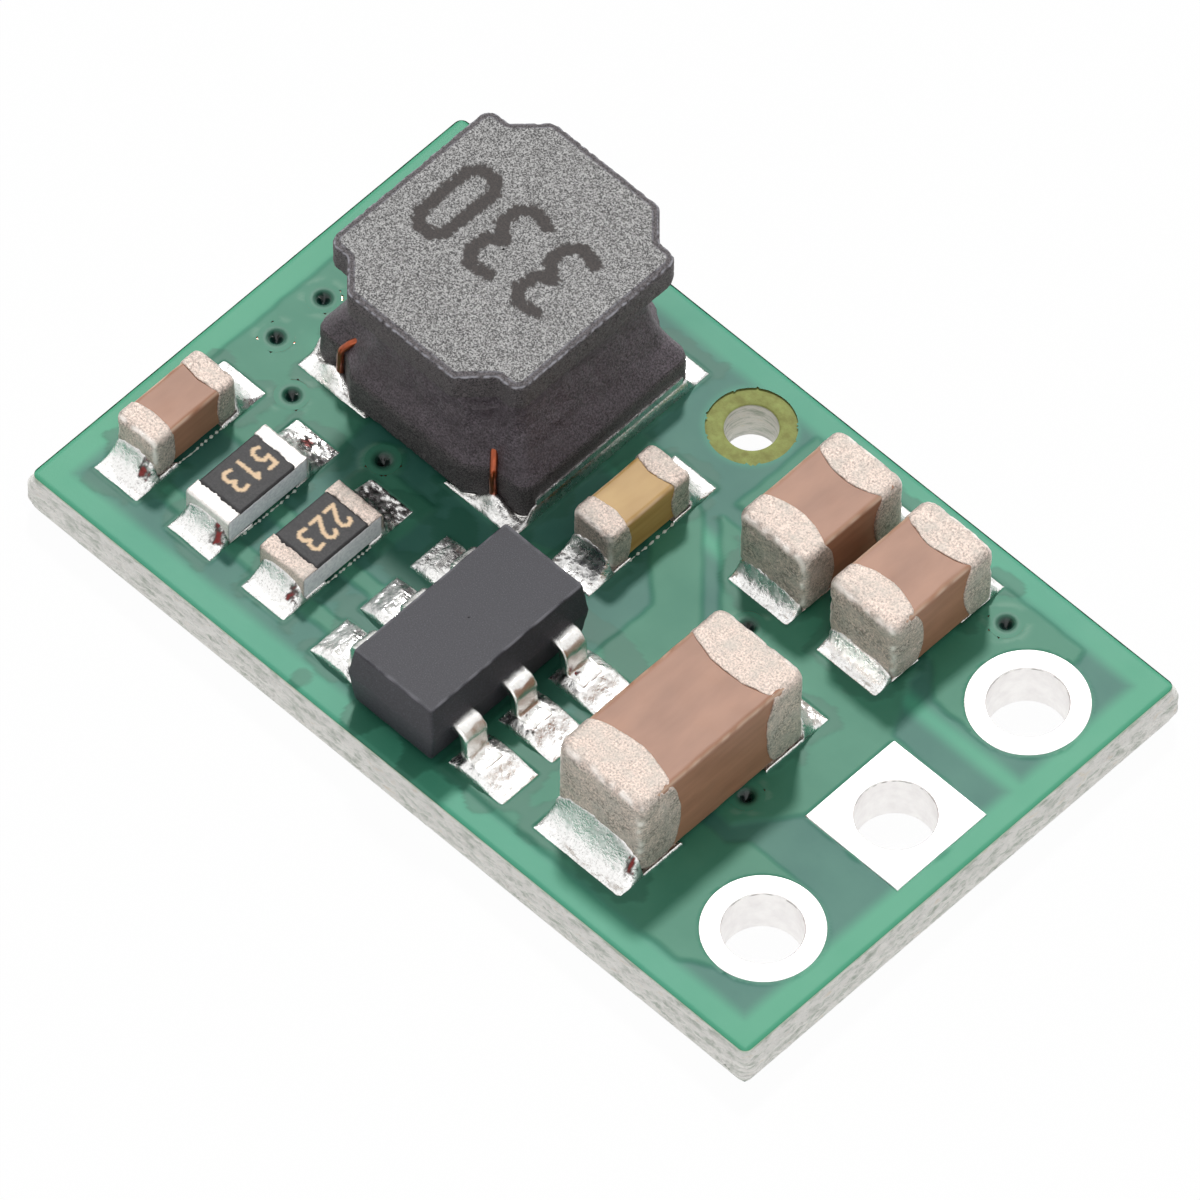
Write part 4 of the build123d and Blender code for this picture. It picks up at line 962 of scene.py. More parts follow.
# %% Laminate edge
def edge_wall():
    """Broken-out edge of the laminate: a V groove's slope, a rough web and the lower slope.

    The outline is pushed out by the groove's profile, then by fibre noise, which is long along the edge
    and short up it, and stronger on the web, where the board was snapped off."""
    corners = box_corners(BOARD_LENGTH, BOARD_WIDTH)
    ring, normals = smooth_ring(corners, CORNER_RADIUS, 1500)
    ring = ring + (BOARD_LENGTH / 2, BOARD_WIDTH / 2)
    top, bottom = LAMINATE_TOP + 0.02, LAMINATE_BOTTOM
    heights = [top, top - 0.012, top - 0.03, *np.linspace(top - 0.06, top - SCORE_DEPTH, 6),
               *np.linspace(top - SCORE_DEPTH - 0.03, bottom + SCORE_DEPTH + 0.02, 9),
               *np.linspace(bottom + SCORE_DEPTH, bottom, 7)]
    rows, web = [], []
    for z in heights:
        depth = min(top - z, z - bottom)
        out = SCORE_BULGE * min(depth / SCORE_DEPTH, 1.0)
        places = np.column_stack([ring, np.full(len(ring), z)])
        rough = 0.35 + 0.65 * float(step(depth, 0.08, SCORE_DEPTH))
        fibre = wave(places * (1, 1, 3.5), 0.30, 21) * 0.010 + wave(places * (1, 1, 2.5), 0.08, 22) * 0.006
        fade = float(step(depth, 0.0, 0.04))
        push = out + np.minimum(fibre * rough * fade, 0.015) - 0.012 * rough * fade
        rows.append(np.column_stack([ring + normals * push[:, None], np.full(len(ring), z)]))
        web.append(np.full(len(ring), 1.0 - float(step(top - z, 0.0, 0.035))))
    points = np.vstack(rows)
    faces = grid_faces(len(rows), len(ring), wrap=True)[:, ::-1]
    return points, faces, {"rim": np.concatenate(web) * 0.8}


def bare_ring():
    """Laminate left bare round the plain hole, with the hole's wall: a profile turned about the hole's
    axis."""
    r, outer = PLAIN_HOLE / 2, PLAIN_OPENING / 2 + 0.06
    profile = [(outer, LAMINATE_TOP), (outer - 0.10, LAMINATE_TOP), (outer - 0.2, LAMINATE_TOP),
               (r + 0.03, LAMINATE_TOP), (r + 0.008, LAMINATE_TOP - 0.008), (r, LAMINATE_TOP - 0.03),
               (r, 0.5), (r, 0.3), (r, LAMINATE_BOTTOM), (outer, LAMINATE_BOTTOM)]
    angles = np.linspace(0, 2 * math.pi, 120, endpoint=False)
    rows, bare = [], []
    for radius, z in profile:
        circle = np.column_stack([PLAIN_HOLE_AT[0] + radius * np.cos(angles),
                                  PLAIN_HOLE_AT[1] + radius * np.sin(angles), np.full(120, z)])
        rows.append(circle)
        bare.append(np.full(120, 1.0 if z > LAMINATE_TOP - 0.02 else 0.08))
    return np.vstack(rows), grid_faces(len(rows), 120, wrap=True), {"bare": np.concatenate(bare)}


make_piece("laminate_edges", join([edge_wall(), bare_ring()]), LAMINATE, "laminate", "board_laminate")


# %% [markdown]
# A plated hole is one skin, from one pad down the barrel to the other. It is a profile turned about the
# hole's axis, and its outer part is stretched to a square for the square pad.

# %% Plated pin holes
def plated_hole(row):
    """Pad and barrel of a pin hole, turned about its axis. The pad's outline is R(a) = half / max(|cos
    a|, |sin a|) for the square one and constant for the round ones."""
    angles = np.linspace(0, 2 * math.pi, 192, endpoint=False)
    bore, half = PIN_BORE / 2, PIN_PAD / 2
    outline = np.full(192, half)
    if row == 1:
        outline = half / np.maximum(np.abs(np.cos(angles)), np.abs(np.sin(angles)))
    profile = [(1.0, LAMINATE_TOP), (1.0, BOARD_TOP - 0.012), (0.985, BOARD_TOP - 0.003), (0.95, BOARD_TOP),
               (0.7, BOARD_TOP + 0.003), (0.4, BOARD_TOP + 0.003), (0.12, BOARD_TOP)]
    rows = [(share, z, 0.0) for share, z in profile]
    rows += [(0.0, BOARD_TOP - 0.02 * (1 - math.cos(a)) - 0.001, 0.02 * (1 - math.sin(a)))
             for a in np.linspace(0, math.pi / 2, 5)]
    rows += [(0.0, z, 0.0) for z in (BOARD_TOP - 0.028, BOARD_TOP - 0.036, BOARD_TOP - 0.046)]
    rows += [(0.0, z, 0.0) for z in np.linspace(BOARD_TOP - 0.06, 0.06, 9)]
    rows += [(0.0, 0.02 * (1 - math.cos(a)), 0.02 * (1 - math.sin(a)))
             for a in np.linspace(math.pi / 2, 0, 5)]
    rows += [(0.5, 0.0, 0.0), (1.0, 0.0, 0.0), (1.0, LAMINATE_BOTTOM, 0.0)]
    points, rag = [], []
    for share, z, flare in rows:
        radius = bore + flare + (outline - bore - flare) * share
        circle = np.column_stack([PIN_X + radius * np.cos(angles), PIN_Y[row] + radius * np.sin(angles),
                                  np.full(192, z)])
        torn = np.clip(0.35 + wave(circle, 0.16, 35 + row), 0,
                       1) * math.exp(-((z - BOARD_TOP + 0.030) / 0.011) ** 2)
        rag.append(torn * (0.9 if share == 0.0 else 0.0))
        if share == 0.0 and 0.03 < z < BOARD_TOP - 0.03:
            lumps = 0.006 * wave(circle * (1, 1, 1.5), 0.25, 31 + row)
            outwards = (circle[:, :2] - (PIN_X, PIN_Y[row])) / radius[:, None]
            circle[:, :2] += outwards * np.abs(lumps)[:, None] * 0.5
        points.append(circle)
    return np.vstack(points), grid_faces(len(rows), 192, wrap=True), {"rag": np.concatenate(rag)}


for row in range(3):
    make_piece(f"plated_hole_{row + 1}", plated_hole(row), PIN_PLATING, "plating",
               f"pin_hole_plating_{row + 1}")


# %% [markdown]
# ## Solder joints
#
# Each pad carries a height field: a low dome over the pad, a hollow fillet that climbs the part's end
# face, and lumps. The outer row of points turns down to the laminate, so the joint is closed from every
# side.

# %% Solder tools
def pad_surface(pad, height, spacing, seed, lumps=0.004):
    """Height field over a pad: BOARD_TOP + height(x, y) + lumps, with a skirt down into the mask's
    opening."""
    x0, x1, y0, y1 = pad
    columns, rows = max(round((x1 - x0) / spacing), 4) + 1, max(round((y1 - y0) / spacing), 4) + 1
    xs = np.concatenate([[x0], np.linspace(x0, x1, columns), [x1]])
    ys = np.concatenate([[y0], np.linspace(y0, y1, rows), [y1]])
    x, y = np.meshgrid(xs, ys)
    flat = np.stack([x.ravel(), y.ravel()], axis=1)
    edge = np.minimum.reduce([x - x0, x1 - x, y - y0, y1 - y]).ravel()
    dome = 0.012 * step(edge, 0.0, 0.06) - 0.004 * (1 - step(edge, 0.0, 0.02))
    texture = lumps * (wave(flat, 0.16, seed) + 0.5 * wave(flat, 0.06, seed + 1)) * step(edge, 0.0, 0.05)
    raise_by, grime, red = height(flat[:, 0], flat[:, 1])
    z = BOARD_TOP + dome + texture + raise_by
    skirt = np.zeros(x.shape, bool)
    skirt[0], skirt[-1], skirt[:, 0], skirt[:, -1] = True, True, True, True
    z = np.where(skirt.ravel(), LAMINATE_TOP + 0.01, z)
    return np.column_stack([flat, z]), grid_faces(*x.shape), {"grime": grime, "red": red}


def blots(x, y, places, seed):
    """Dark blots on a joint: 1 - step(r) round each place, with a red heart of its own strength."""
    flat = np.stack([x, y], axis=1)
    rough = 0.020 * wave(flat, 0.10, seed) + 0.010 * wave(flat, 0.04, seed + 1)
    grime, red = np.zeros(len(x)), np.zeros(len(x))
    for px, py, size, heart in places:
        r = np.hypot(x - px, y - py) + rough
        grime = np.maximum(grime, 0.95 * (1 - step(r, 0.55 * size, size)))
        red = np.maximum(red, heart * (1 - step(r, 0.20 * size, 0.55 * size)))
    return grime, red


def chip_joint(chip, side, places, seed, rough=0.0):
    """Solder of one end of a chip part.

    With d the distance outwards from the end face and reach the pad's length beyond it, the fillet's
    height is fillet * (1 - d / reach)^2.8, narrowed to the part's width; under the part it is the thin
    solder film."""
    face = chip["y"] + side * chip["length"] / 2
    outer = chip["pad_y"] + side * chip["pad_span"] / 2
    reach = abs(outer - face)

    def height(x, y):
        d = side * (y - face)
        sideways = np.abs(x - chip["x"]) - (chip["width"] / 2 - 0.07)
        climb = np.where(d > -0.03, chip["fillet"] * np.clip(1 - np.maximum(d, 0) / reach, 0, 1) ** 2.8,
                         0.0)
        climb = climb * np.exp(-((np.maximum(sideways, 0) / 0.09) ** 2))
        climb = climb * (1 - 0.55 * np.clip(np.abs(x - chip["x"]) / (chip["width"] / 2), 0, 1) ** 3)
        beside = 0.05 * np.exp(-np.maximum(np.abs(x - chip["x"]) - chip["width"] / 2, 0) / 0.03)
        climb = np.where(d < -0.03, np.where(np.abs(x - chip["x"]) > chip["width"] / 2 - 0.02, beside, 0.0),
                         climb)
        grime, red = blots(x, y, places, seed + 7)
        flat = np.stack([x, y], axis=1)
        # Darker along the foot of the end face, and in patches on rough pads.
        near = 0.25 * np.exp(-((d / 0.09) ** 2)) + rough * step(wave(flat, 0.13, seed + 9), -0.3,
                                                                0.8) * (d > 0.02)
        return climb, np.clip(np.maximum(grime, near), 0, 1), red

    return pad_surface(pad_box(chip, side), height, 0.020, seed, lumps=0.004 + 0.008 * rough)


def lead_joint(side, row, places, seed):
    """Solder of one lead: it covers the foot, and falls away from it as 0.155 * exp(-(d / 0.21)^1.5)."""
    toe, heel = CONTROLLER[0] + side * LEAD_SPAN / 2, CONTROLLER[0] + side * (LEAD_SPAN / 2 - LEAD_FOOT)
    y_mid = CONTROLLER[1] + (row - 1) * LEAD_PITCH

    def height(x, y):
        d = rectangle_distance(x, y, min(toe, heel), max(toe, heel), y_mid - LEAD_WIDTH / 2,
                               y_mid + LEAD_WIDTH / 2)
        wet = 0.155 * np.exp(-(np.maximum(d, 0) / 0.21) ** 1.5) + 0.030 * step(-d, 0.0, 0.14)
        past = side * (x - heel)
        wet = wet * step(past, -0.34, -0.02) * (1 - 0.5 * (1 - step(past, -0.05, 0.06)))
        grime, red = blots(x, y, places, seed + 7)
        # Darker at the heel of the lead.
        near = 0.45 * np.exp(-((past / 0.07) ** 2)) * step(wave(np.stack([x, y], axis=1), 0.12, seed + 9),
                                                           0.0, 1.0)
        return wet, np.clip(np.maximum(grime, near), 0, 1), red

    return pad_surface(lead_pad_box(side, row), height, 0.018, seed, lumps=0.003)


def inductor_joint(side, seed):
    """Solder of one inductor pad: a bead along the electrode and a lump over the wire's end."""
    wall = INDUCTOR[0] + side * (LOWER_FLANGE[0] + ELECTRODE)
    low_y, high_y = INDUCTOR[1] - 1.55, INDUCTOR[1] + 1.55
    knot = (INDUCTOR[0] + side * (LOWER_FLANGE[3] + 0.10), INDUCTOR[1] - LOWER_FLANGE[2] - 0.08)

    def height(x, y):
        d = side * (x - wall)
        along = step(y, low_y - 0.1, low_y + 0.1) * (1 - step(y, high_y - 0.1, high_y + 0.1))
        bead = 0.24 * np.exp(-np.maximum(d, 0) / 0.035) * (d > -0.03) * along
        lump = 0.26 * np.exp(-(((x - knot[0]) / 0.24) ** 2 + ((y - knot[1]) / 0.13) ** 2))
        under = np.abs(x - INDUCTOR[0]) < LOWER_FLANGE[0] - 0.12
        under &= np.abs(y - INDUCTOR[1]) < LOWER_FLANGE[2] - 0.15
        # Darker along the foot of the electrode.
        return np.where(under, 0.0,
                        np.maximum(bead, lump)), 0.3 * np.exp(-((d / 0.06) ** 2)), np.zeros(len(x))

    return pad_surface(inductor_pad_box(side), height, 0.025, seed, lumps=0.003)


print("one pad, in mm:", [round(value, 2) for value in pad_box(CHIPS["input_capacitor"], -1)])


# %% [markdown]
# Each joint froze on its own, so each has its own seed. The places of the dark blots are listed, because
# they belong to this one board.

# %% Solder pieces
# Places of dark blots: x, y, size of the blot, strength of its red heart.
BLOTS = {
    "feedback_capacitor": [(1.165, 0.985, 0.105, 0.9)], "feedback_resistor_1": [(2.61, 0.94, 0.12, 1.0)],
    "feedback_resistor_2": [(3.965, 0.965, 0.09, 0.8)], "input_capacitor": [(10.30, 0.93, 0.085, 1.0)],
    (1, 1): [(7.567, 1.731, 0.05, 1.0), (7.814, 1.654, 0.06, 0.0)], (1, 2): [(7.592, 2.678, 0.05, 0.8)],
}
ROUGH_PADS = {"feedback_resistor_1": 0.35, "feedback_resistor_2": 0.75}
for number, (name, chip) in enumerate(CHIPS.items()):
    near_joint = chip_joint(chip, -1, BLOTS.get(name, []), 100 + 20 * number)
    far_places = [(2.318, 2.931, 0.14, 0.5)] if name == "feedback_resistor_1" else []
    far_joint = chip_joint(chip, 1, far_places, 110 + 20 * number, ROUGH_PADS.get(name, 0.0))
    make_piece(f"{name}_joints", join([near_joint, far_joint]), SOLDER, "solder", f"{name}_solder")

joints = [lead_joint(side, row, BLOTS.get((side, row), []), 300 + 20 * row + 5 * side)
          for side in (-1, 1) for row in range(3)]
make_piece("controller_joints", join(joints), SOLDER, "solder", "controller_solder")
make_piece("inductor_joints", join([inductor_joint(side, 400 + side) for side in (-1, 1)]), SOLDER,
           "solder",
           "inductor_solder")


# %% [markdown]
# ## Dried flux
#
# Along the foot of some parts a thin bright line runs from pad to pad: a bead of dried flux, whose
# highlight is painted in as a whitish colour. It is a bead about 0.025 mm thick, so it is made as a thin
# tube whose radius wanders, which keeps its edge crisp at any distance.

# %% Dried flux
# Flux residue: dried resin, glossy, with its highlight painted in as a whitish colour.
FLUX_AND_HIGHLIGHT, tree, shader, place = new_material("dried_flux_with_highlight")
set_inputs(tree, shader, {"Base Color": linear("dfe6dc"), "Roughness": 0.28})


def flux_line(x, y0, y1, seed):
    """Tube along y whose radius is 0.012 * (0.8 + 0.7 * wave), and whose line wanders by 0.004 mm."""
    y = np.linspace(y0, y1, 90)
    line = np.column_stack([x + 0.004 * wave(y[:, None], 0.50, seed), y])
    radius = 0.012 * np.clip(0.8 + 0.7 * wave(y[:, None], 0.10, seed + 1), 0.05, 2.0)
    angles = np.linspace(0, 2 * math.pi, 13)[:-1]
    points = np.stack([line[:, :1] + radius[:, None] * np.cos(angles), np.repeat(y[:, None], 12, axis=1),
                       BOARD_TOP + 0.008 + radius[:, None] * np.sin(angles)], axis=2).reshape(-1, 3)
    return points, grid_faces(90, 12, wrap=True), {}


lines = []
for number, name in enumerate(("feedback_capacitor", "feedback_resistor_1", "feedback_resistor_2",
                               "boost_capacitor")):
    chip = CHIPS[name]
    half = chip["length"] / 2 - chip["band"]
    lines.append(flux_line(chip["x"] + chip["width"] / 2 + 0.012, chip["y"] - half, chip["y"] + half,
                           460 + number))
make_piece("flux_highlight_lines", join(lines), FLUX_AND_HIGHLIGHT, "")


# %% [markdown]
# ## Chip parts
#
# A capacitor is a tube of rounded rectangles along y. Its ends are shells of the same outline: they start
# at a lip whose edge bows towards the middle, run to the rounded end, and close over the end face.

# %% Capacitors
def tube(ring, normals, stations):
    """Points of a tube along y. Each station is (y per point, inset per point, scale), and the outline is
    moved in by the inset and then scaled about its middle."""
    rows = []
    for y, inset, scale in stations:
        flat = (ring - normals * np.broadcast_to(inset, len(ring))[:, None]) * scale
        rows.append(np.column_stack([flat[:, 0], np.broadcast_to(y, len(ring)), flat[:, 1]]))
    return np.vstack(rows), grid_faces(len(rows), len(ring), wrap=True)


def place_chip(chip, points):
    """Points moved from a chip part's own middle and seat to the board."""
    return points + (chip["x"], chip["y"], SEAT + chip["height"] / 2)


def ceramic_block(chip, seed):
    """Ceramic block between the end caps, with softly rounded long edges that are painted pale as a
    highlight.
    """
    width, height = chip["width"] - 2 * PLATING, chip["height"] - 2 * PLATING
    ring, normals = smooth_ring(box_corners(width, height), 0.07, 144)
    half = chip["length"] / 2 - 0.10 - 0.06 * chip["height"]
    stations = [(-half, 0.0, 0.01), (-half, 0.06, 1.0)]
    stations += [(y, 0.0, 1.0) for y in np.linspace(-half + 0.03, half - 0.03, 40)]
    stations += [(half, 0.06, 1.0), (half, 0.0, 0.01)]
    points, faces = tube(ring, normals, stations)
    corner = np.tile(np.abs(normals[:, 0] * normals[:, 1]) * 2, len(stations))
    worn = 0.45 * step(corner, 0.60, 0.98) * np.clip(0.75 + 0.35 * wave(points, 0.3, seed + 50), 0, 1)
    points = points + 0.0025 * wave(points, 0.5, seed)[:, None] * np.array([1, 0, 1])
    return place_chip(chip, points), faces, {"worn": worn}


def end_cap(chip, side, seed):
    """End cap of a capacitor.

    The lip's distance from the middle is L/2 - band - bulge * (1 - (2t / w)^2) + noise, where t runs
    across each face of width w, so the edge bows as a dipped coating does. The end is a quarter round of
    radius R, on which each point moves in by R(1 - cos a) in proportion to its place across the part."""
    width, height, length = chip["width"], chip["height"], chip["length"]
    radius = 0.08 + 0.06 * height
    ring, normals = smooth_ring(box_corners(width, height), 0.14 if height > 1 else 0.10, 144)
    on_flat_face = np.abs(normals[:, 1]) > np.abs(normals[:, 0])
    across = np.where(on_flat_face, 2 * ring[:, 0] / width, 2 * ring[:, 1] / height)
    ragged = 0.004 * wave(ring, 0.40, seed) + 0.0015 * wave(ring, 0.08, seed + 1)
    lip = length / 2 - chip["band"] - chip["bulge"] * (1 - across**2) + ragged
    rows = [(lip, PLATING + 0.004, 0.0, 1.0, 0.0), (lip - 0.004, 0.014, 0.0, 1.0, 0.0),
            (lip + 0.004, 0.004, 0.0, 1.0, 0.0), (lip + 0.018, 0.0, 0.0, 1.0, 0.0)]
    rows += [(lip + (length / 2 - radius - lip) * t, 0.0, 0.0, 1.0, 0.0)
             for t in np.linspace(0.12, 1.0, 14)]
    # On the quarter round, the last value is the painted highlight along the middle of the edge.
    rows += [(length / 2 - radius * (1 - math.sin(a)), 0.0, radius * (1 - math.cos(a)), 1.0,
              math.exp(-((a - 0.85) / 0.30) ** 2)) for a in np.linspace(0.12, math.pi / 2, 12)]
    rows += [(length / 2 + 0.006 * (1 - s * s), 0.0, radius, s, 0.0) for s in np.linspace(0.94, 0.02, 14)]
    levels, worn = [], []
    for y, inset, shrink, scale, painted_highlight in rows:
        flat = (ring - normals * inset) * (1 - 2 * shrink / width, 1 - 2 * shrink / height) * scale
        levels.append(np.column_stack([flat[:, 0], np.broadcast_to(y, len(ring)), flat[:, 1]]))
        worn.append(np.full(len(ring), painted_highlight))
    points = np.vstack(levels)
    faces = grid_faces(len(rows), len(ring), wrap=True)
    swell = 0.006 * wave(points, 0.35, seed + 2) + 0.0035 * wave(points, 0.10, seed + 3)
    direction = points / np.maximum(np.linalg.norm(points, axis=1), 1e-6)[:, None]
    points = points + direction * np.minimum(swell, 0.004)[:, None]
    shine = np.concatenate(worn) * np.clip(0.45 + 0.45 * wave(points, 0.22, seed + 4), 0, 0.9)
    upright = np.maximum(np.tile(np.abs(normals[:, 0]), len(rows)),
                         step(points[:, 1], length / 2 - 0.06, length / 2))
    upright = upright * np.clip(0.65 + 0.35 * wave(points, 0.4, seed + 5), 0, 1)
    points[:, 1] *= side
    if side < 0:
        faces = faces[:, ::-1]
    return place_chip(chip, points), faces, {"worn": shine, "upright": 0.7 * upright}


for number, name in enumerate(CAPACITORS):
    chip = CHIPS[name]
    ceramic, slot = CERAMIC, "capacitor_ceramic"
    if name == "boost_capacitor":
        ceramic, slot = CERAMIC_TAN, "capacitor_ceramic_tan"
    make_piece(f"{name}_block", ceramic_block(chip, 400 + number), ceramic, slot, f"{name}_ceramic")
    for end, side in ((1, -1), (2, 1)):
        make_piece(f"{name}_cap_{end}", end_cap(chip, side, 420 + 10 * number + end), TERMINATION,
                   "termination",
                   f"{name}_end_{end}")

# %% [markdown]
# A resistor is an alumina block with bare sides, a bent strip of plating over each end, and a dark
# overcoat that carries its value code. Codes are drawn as strokes: a point is inked where it is nearer to
# a stroke than half the pen's width.

# %% Value codes
DIGITS = {
    "0": [[(-0.45, 0.7), (-0.2, 0.95), (0.2, 0.95), (0.45, 0.7), (0.45, -0.7), (0.2, -0.95), (-0.2, -0.95),
           (-0.45, -0.7), (-0.45, 0.7)]],
    "1": [[(-0.25, 0.65), (0.1, 0.95), (0.1, -0.95)]],
    "2": [[(-0.45, 0.6), (-0.3, 0.88), (0.1, 0.95), (0.42, 0.7), (0.38, 0.2), (-0.45, -0.92),
           (0.48, -0.92)]],
    "3": [[(-0.42, 0.85), (0.15, 0.93), (0.42, 0.65), (0.36, 0.2), (0.0, 0.02)],
          [(0.0, 0.02), (0.42, -0.25), (0.42, -0.7), (0.1, -0.95), (-0.45, -0.85)]],
    "5": [[(0.4, 0.92), (-0.35, 0.92), (-0.4, 0.1), (0.1, 0.2), (0.43, -0.15), (0.38, -0.7), (0.05, -0.95),
           (-0.42, -0.82)]],
}


def ink_field(u, v, text, height, pitch, pen, ragged):
    """Inked share of each place (u to the right, v up, from the text's middle): 1 within half a pen of a
    stroke."""
    nearest = np.full(np.shape(u), 1e9)
    for place, letter in enumerate(text):
        middle = (place - (len(text) - 1) / 2) * pitch
        for stroke in DIGITS[letter]:
            run = [(middle + a * height / 2 * 0.85, b * height / 2) for a, b in stroke]
            nearest = np.minimum(nearest, segment_distance(u, v, run))
    return step(pen / 2 + ragged - nearest, -0.012, 0.012)


print("digits drawn:", " ".join(DIGITS))


# %% [markdown]
# The overcoat is a thin slab with a height field, and each band is a strip bent over the end. A code
# could be a picture, but a field computed on the mesh needs none.

# %% Resistors
def resistor_block(chip):
    """Alumina block with slightly broken edges."""
    width, height = chip["width"] - 0.01, chip["height"] - 2 * PLATING
    ring, normals = smooth_ring(box_corners(width, height), 0.012, 96)
    half = chip["length"] / 2 - PLATING
    stations = [(-half, 0.0, 0.01), (-half, 0.01, 1.0), (-half + 0.01, 0.0, 1.0)]
    stations += [(y, 0.0, 1.0) for y in np.linspace(-half + 0.05, half - 0.05, 24)]
    stations += [(half - 0.01, 0.0, 1.0), (half, 0.01, 1.0), (half, 0.0, 0.01)]
    points, faces = tube(ring, normals, stations)
    return place_chip(chip, points), faces, {}


def overcoat_slab(chip, text, text_x, text_y, seed):
    """Overcoat with a domed, slightly wavy top. The code reads towards -y, with its top towards +x."""
    top = SEAT + chip["height"]
    half_x, half_y = chip["width"] / 2 - 0.008, chip["length"] / 2 - chip["band"] + 0.05
    a, b = np.meshgrid(np.linspace(-1, 1, 62), np.linspace(-1, 1, 82))
    flat = np.stack([a.ravel(), b.ravel()], axis=1)
    x, y = a.ravel() * half_x, b.ravel() * half_y
    rise = step((1 - np.abs(a.ravel())) * half_x, -0.015, 0.030) * step((1 - np.abs(b.ravel())) * half_y,
                                                                        0.0, 0.085)
    z = top - PLATING - 0.01 + 0.046 * rise + 0.0015 * wave(flat, 0.3, seed + 2)
    x, y = x + chip["x"], y + chip["y"]
    ragged = 0.004 * wave(np.stack([x, y], axis=1), 0.05, seed + 3)
    ink = ink_field(-(y - text_y), x - text_x, text, 0.40, 0.27, 0.058, ragged)
    return np.column_stack([x, y, z]), grid_faces(*a.shape), {"ink": ink}


def resistor_band(chip, side, seed):
    """Bent strip over one end: an outline in the y-z plane carried across the width, with a ragged inner
    edge."""
    half, height, length = chip["width"] / 2, chip["height"], chip["length"]
    inner, outer, r, t = length / 2 - chip["band"], length / 2, 0.05, PLATING + 0.004
    profile = [(inner, height - t), (inner - 0.002, height - 0.012), (inner + 0.012, height + 0.002)]
    profile += [(y, height + 0.002) for y in np.linspace(inner + 0.04, outer - r, 8)]
    profile += [(outer - r + r * math.sin(a), height - r + r * math.cos(a))
                for a in np.linspace(0.2, 1.57, 6)]
    profile += [(outer, z) for z in np.linspace(height - 0.10, 0.08, 8)]
    profile += [(outer - 0.03, 0.0), (inner, 0.0), (inner, t)]
    profile = np.array(profile)
    across = np.concatenate([[-half + 0.02], np.linspace(-half, half, 40), [half - 0.02]])
    rows = []
    for k, x in enumerate(across):
        drawn = 0.03 if k in (0, len(across) - 1) else 0.0
        place = np.column_stack([np.full(len(profile), x), profile[:, 0], profile[:, 1]])
        inward = np.exp(-((profile[:, 0] - inner) / 0.03) ** 2) * (profile[:, 1] > height / 2)
        ragged = 0.016 * wave(np.array([[x, 0.0]]), 0.30, seed)[0] + 0.008 * wave(np.array([[x, 1.0]]),
                                                                                  0.08, seed)[0]
        place[:, 1] += inward * ragged
        centre = np.array([0.0, (inner + outer) / 2, height / 2])
        place[:, 1:] += (centre[1:] - place[:, 1:]) * drawn
        rows.append(place)
    points = np.vstack(rows)
    lumps = 0.004 * wave(points, 0.12, seed + 1)
    points[:, 2] += np.where(points[:, 2] > height - 0.05, lumps, 0.0)
    points[:, 1] *= side
    faces = grid_faces(len(across), len(profile))
    if side > 0:
        faces = faces[:, ::-1]
    return points + (chip["x"], chip["y"], SEAT), faces, {}


CODES = {"feedback_resistor_1": ("513", 2.31, 1.842), "feedback_resistor_2": ("223", 3.70, 1.865)}
for number, name in enumerate(RESISTORS):
    chip = CHIPS[name]
    make_piece(f"{name}_block", resistor_block(chip), ALUMINA, "alumina", f"{name}_substrate")
    make_piece(f"{name}_coat", overcoat_slab(chip, *CODES[name], 500 + 10 * number), OVERCOAT, "overcoat",
               f"{name}_overcoat")
    for end, side in ((1, -1), (2, 1)):
        metal = BAND if name == "feedback_resistor_1" else TERMINATION
        make_piece(f"{name}_band_{end}", resistor_band(chip, side, 520 + 10 * number + end), metal,
                   "termination", f"{name}_end_{end}")


# %% [markdown]
# ## Inductor
#
# The drum's two flanges share one outline rule: a square whose corners are cut back to a shoulder and a
# slope. Each is a stack of that outline, moved in or out row by row. The resin between them is the same
# outline drawn in along a curve.

# %% Flange outlines
def flange_ring(measures, count=360):
    """Flange outline round the origin, with rounded corners, and its outward normals."""
    hx, hy, sy, sx, ex = measures
    quarter = [(hx, sy), (sx, sy), (ex, hy)]
    radii = [0.20, 0.09, 0.14]
    corners = quarter + [(-x, y) for x, y in quarter[::-1]] + [(-x, -y) for x, y in quarter]
    corners += [(x, -y) for x, y in quarter[::-1]]
    return smooth_ring(corners, radii + radii[::-1] + radii + radii[::-1], count)


def stack(ring, normals, rows):
    """Points of a stack of rings. Each row is (height, inset, scale)."""
    levels = []
    for z, inset, scale in rows:
        flat = (ring - normals * np.broadcast_to(inset, len(ring))[:, None]) * scale
        levels.append(np.column_stack([flat, np.full(len(ring), z)]))
    return np.vstack(levels), grid_faces(len(levels), len(ring), wrap=True)


print("points of a flange outline:", len(flange_ring(UPPER_FLANGE)[0]))


# %% [markdown]
# The flanges are pressed from powder, and the top one is ground flat and printed. Its rows run from
# below, up the side, over the round and the groove to the middle of the top, so one grid holds it all.

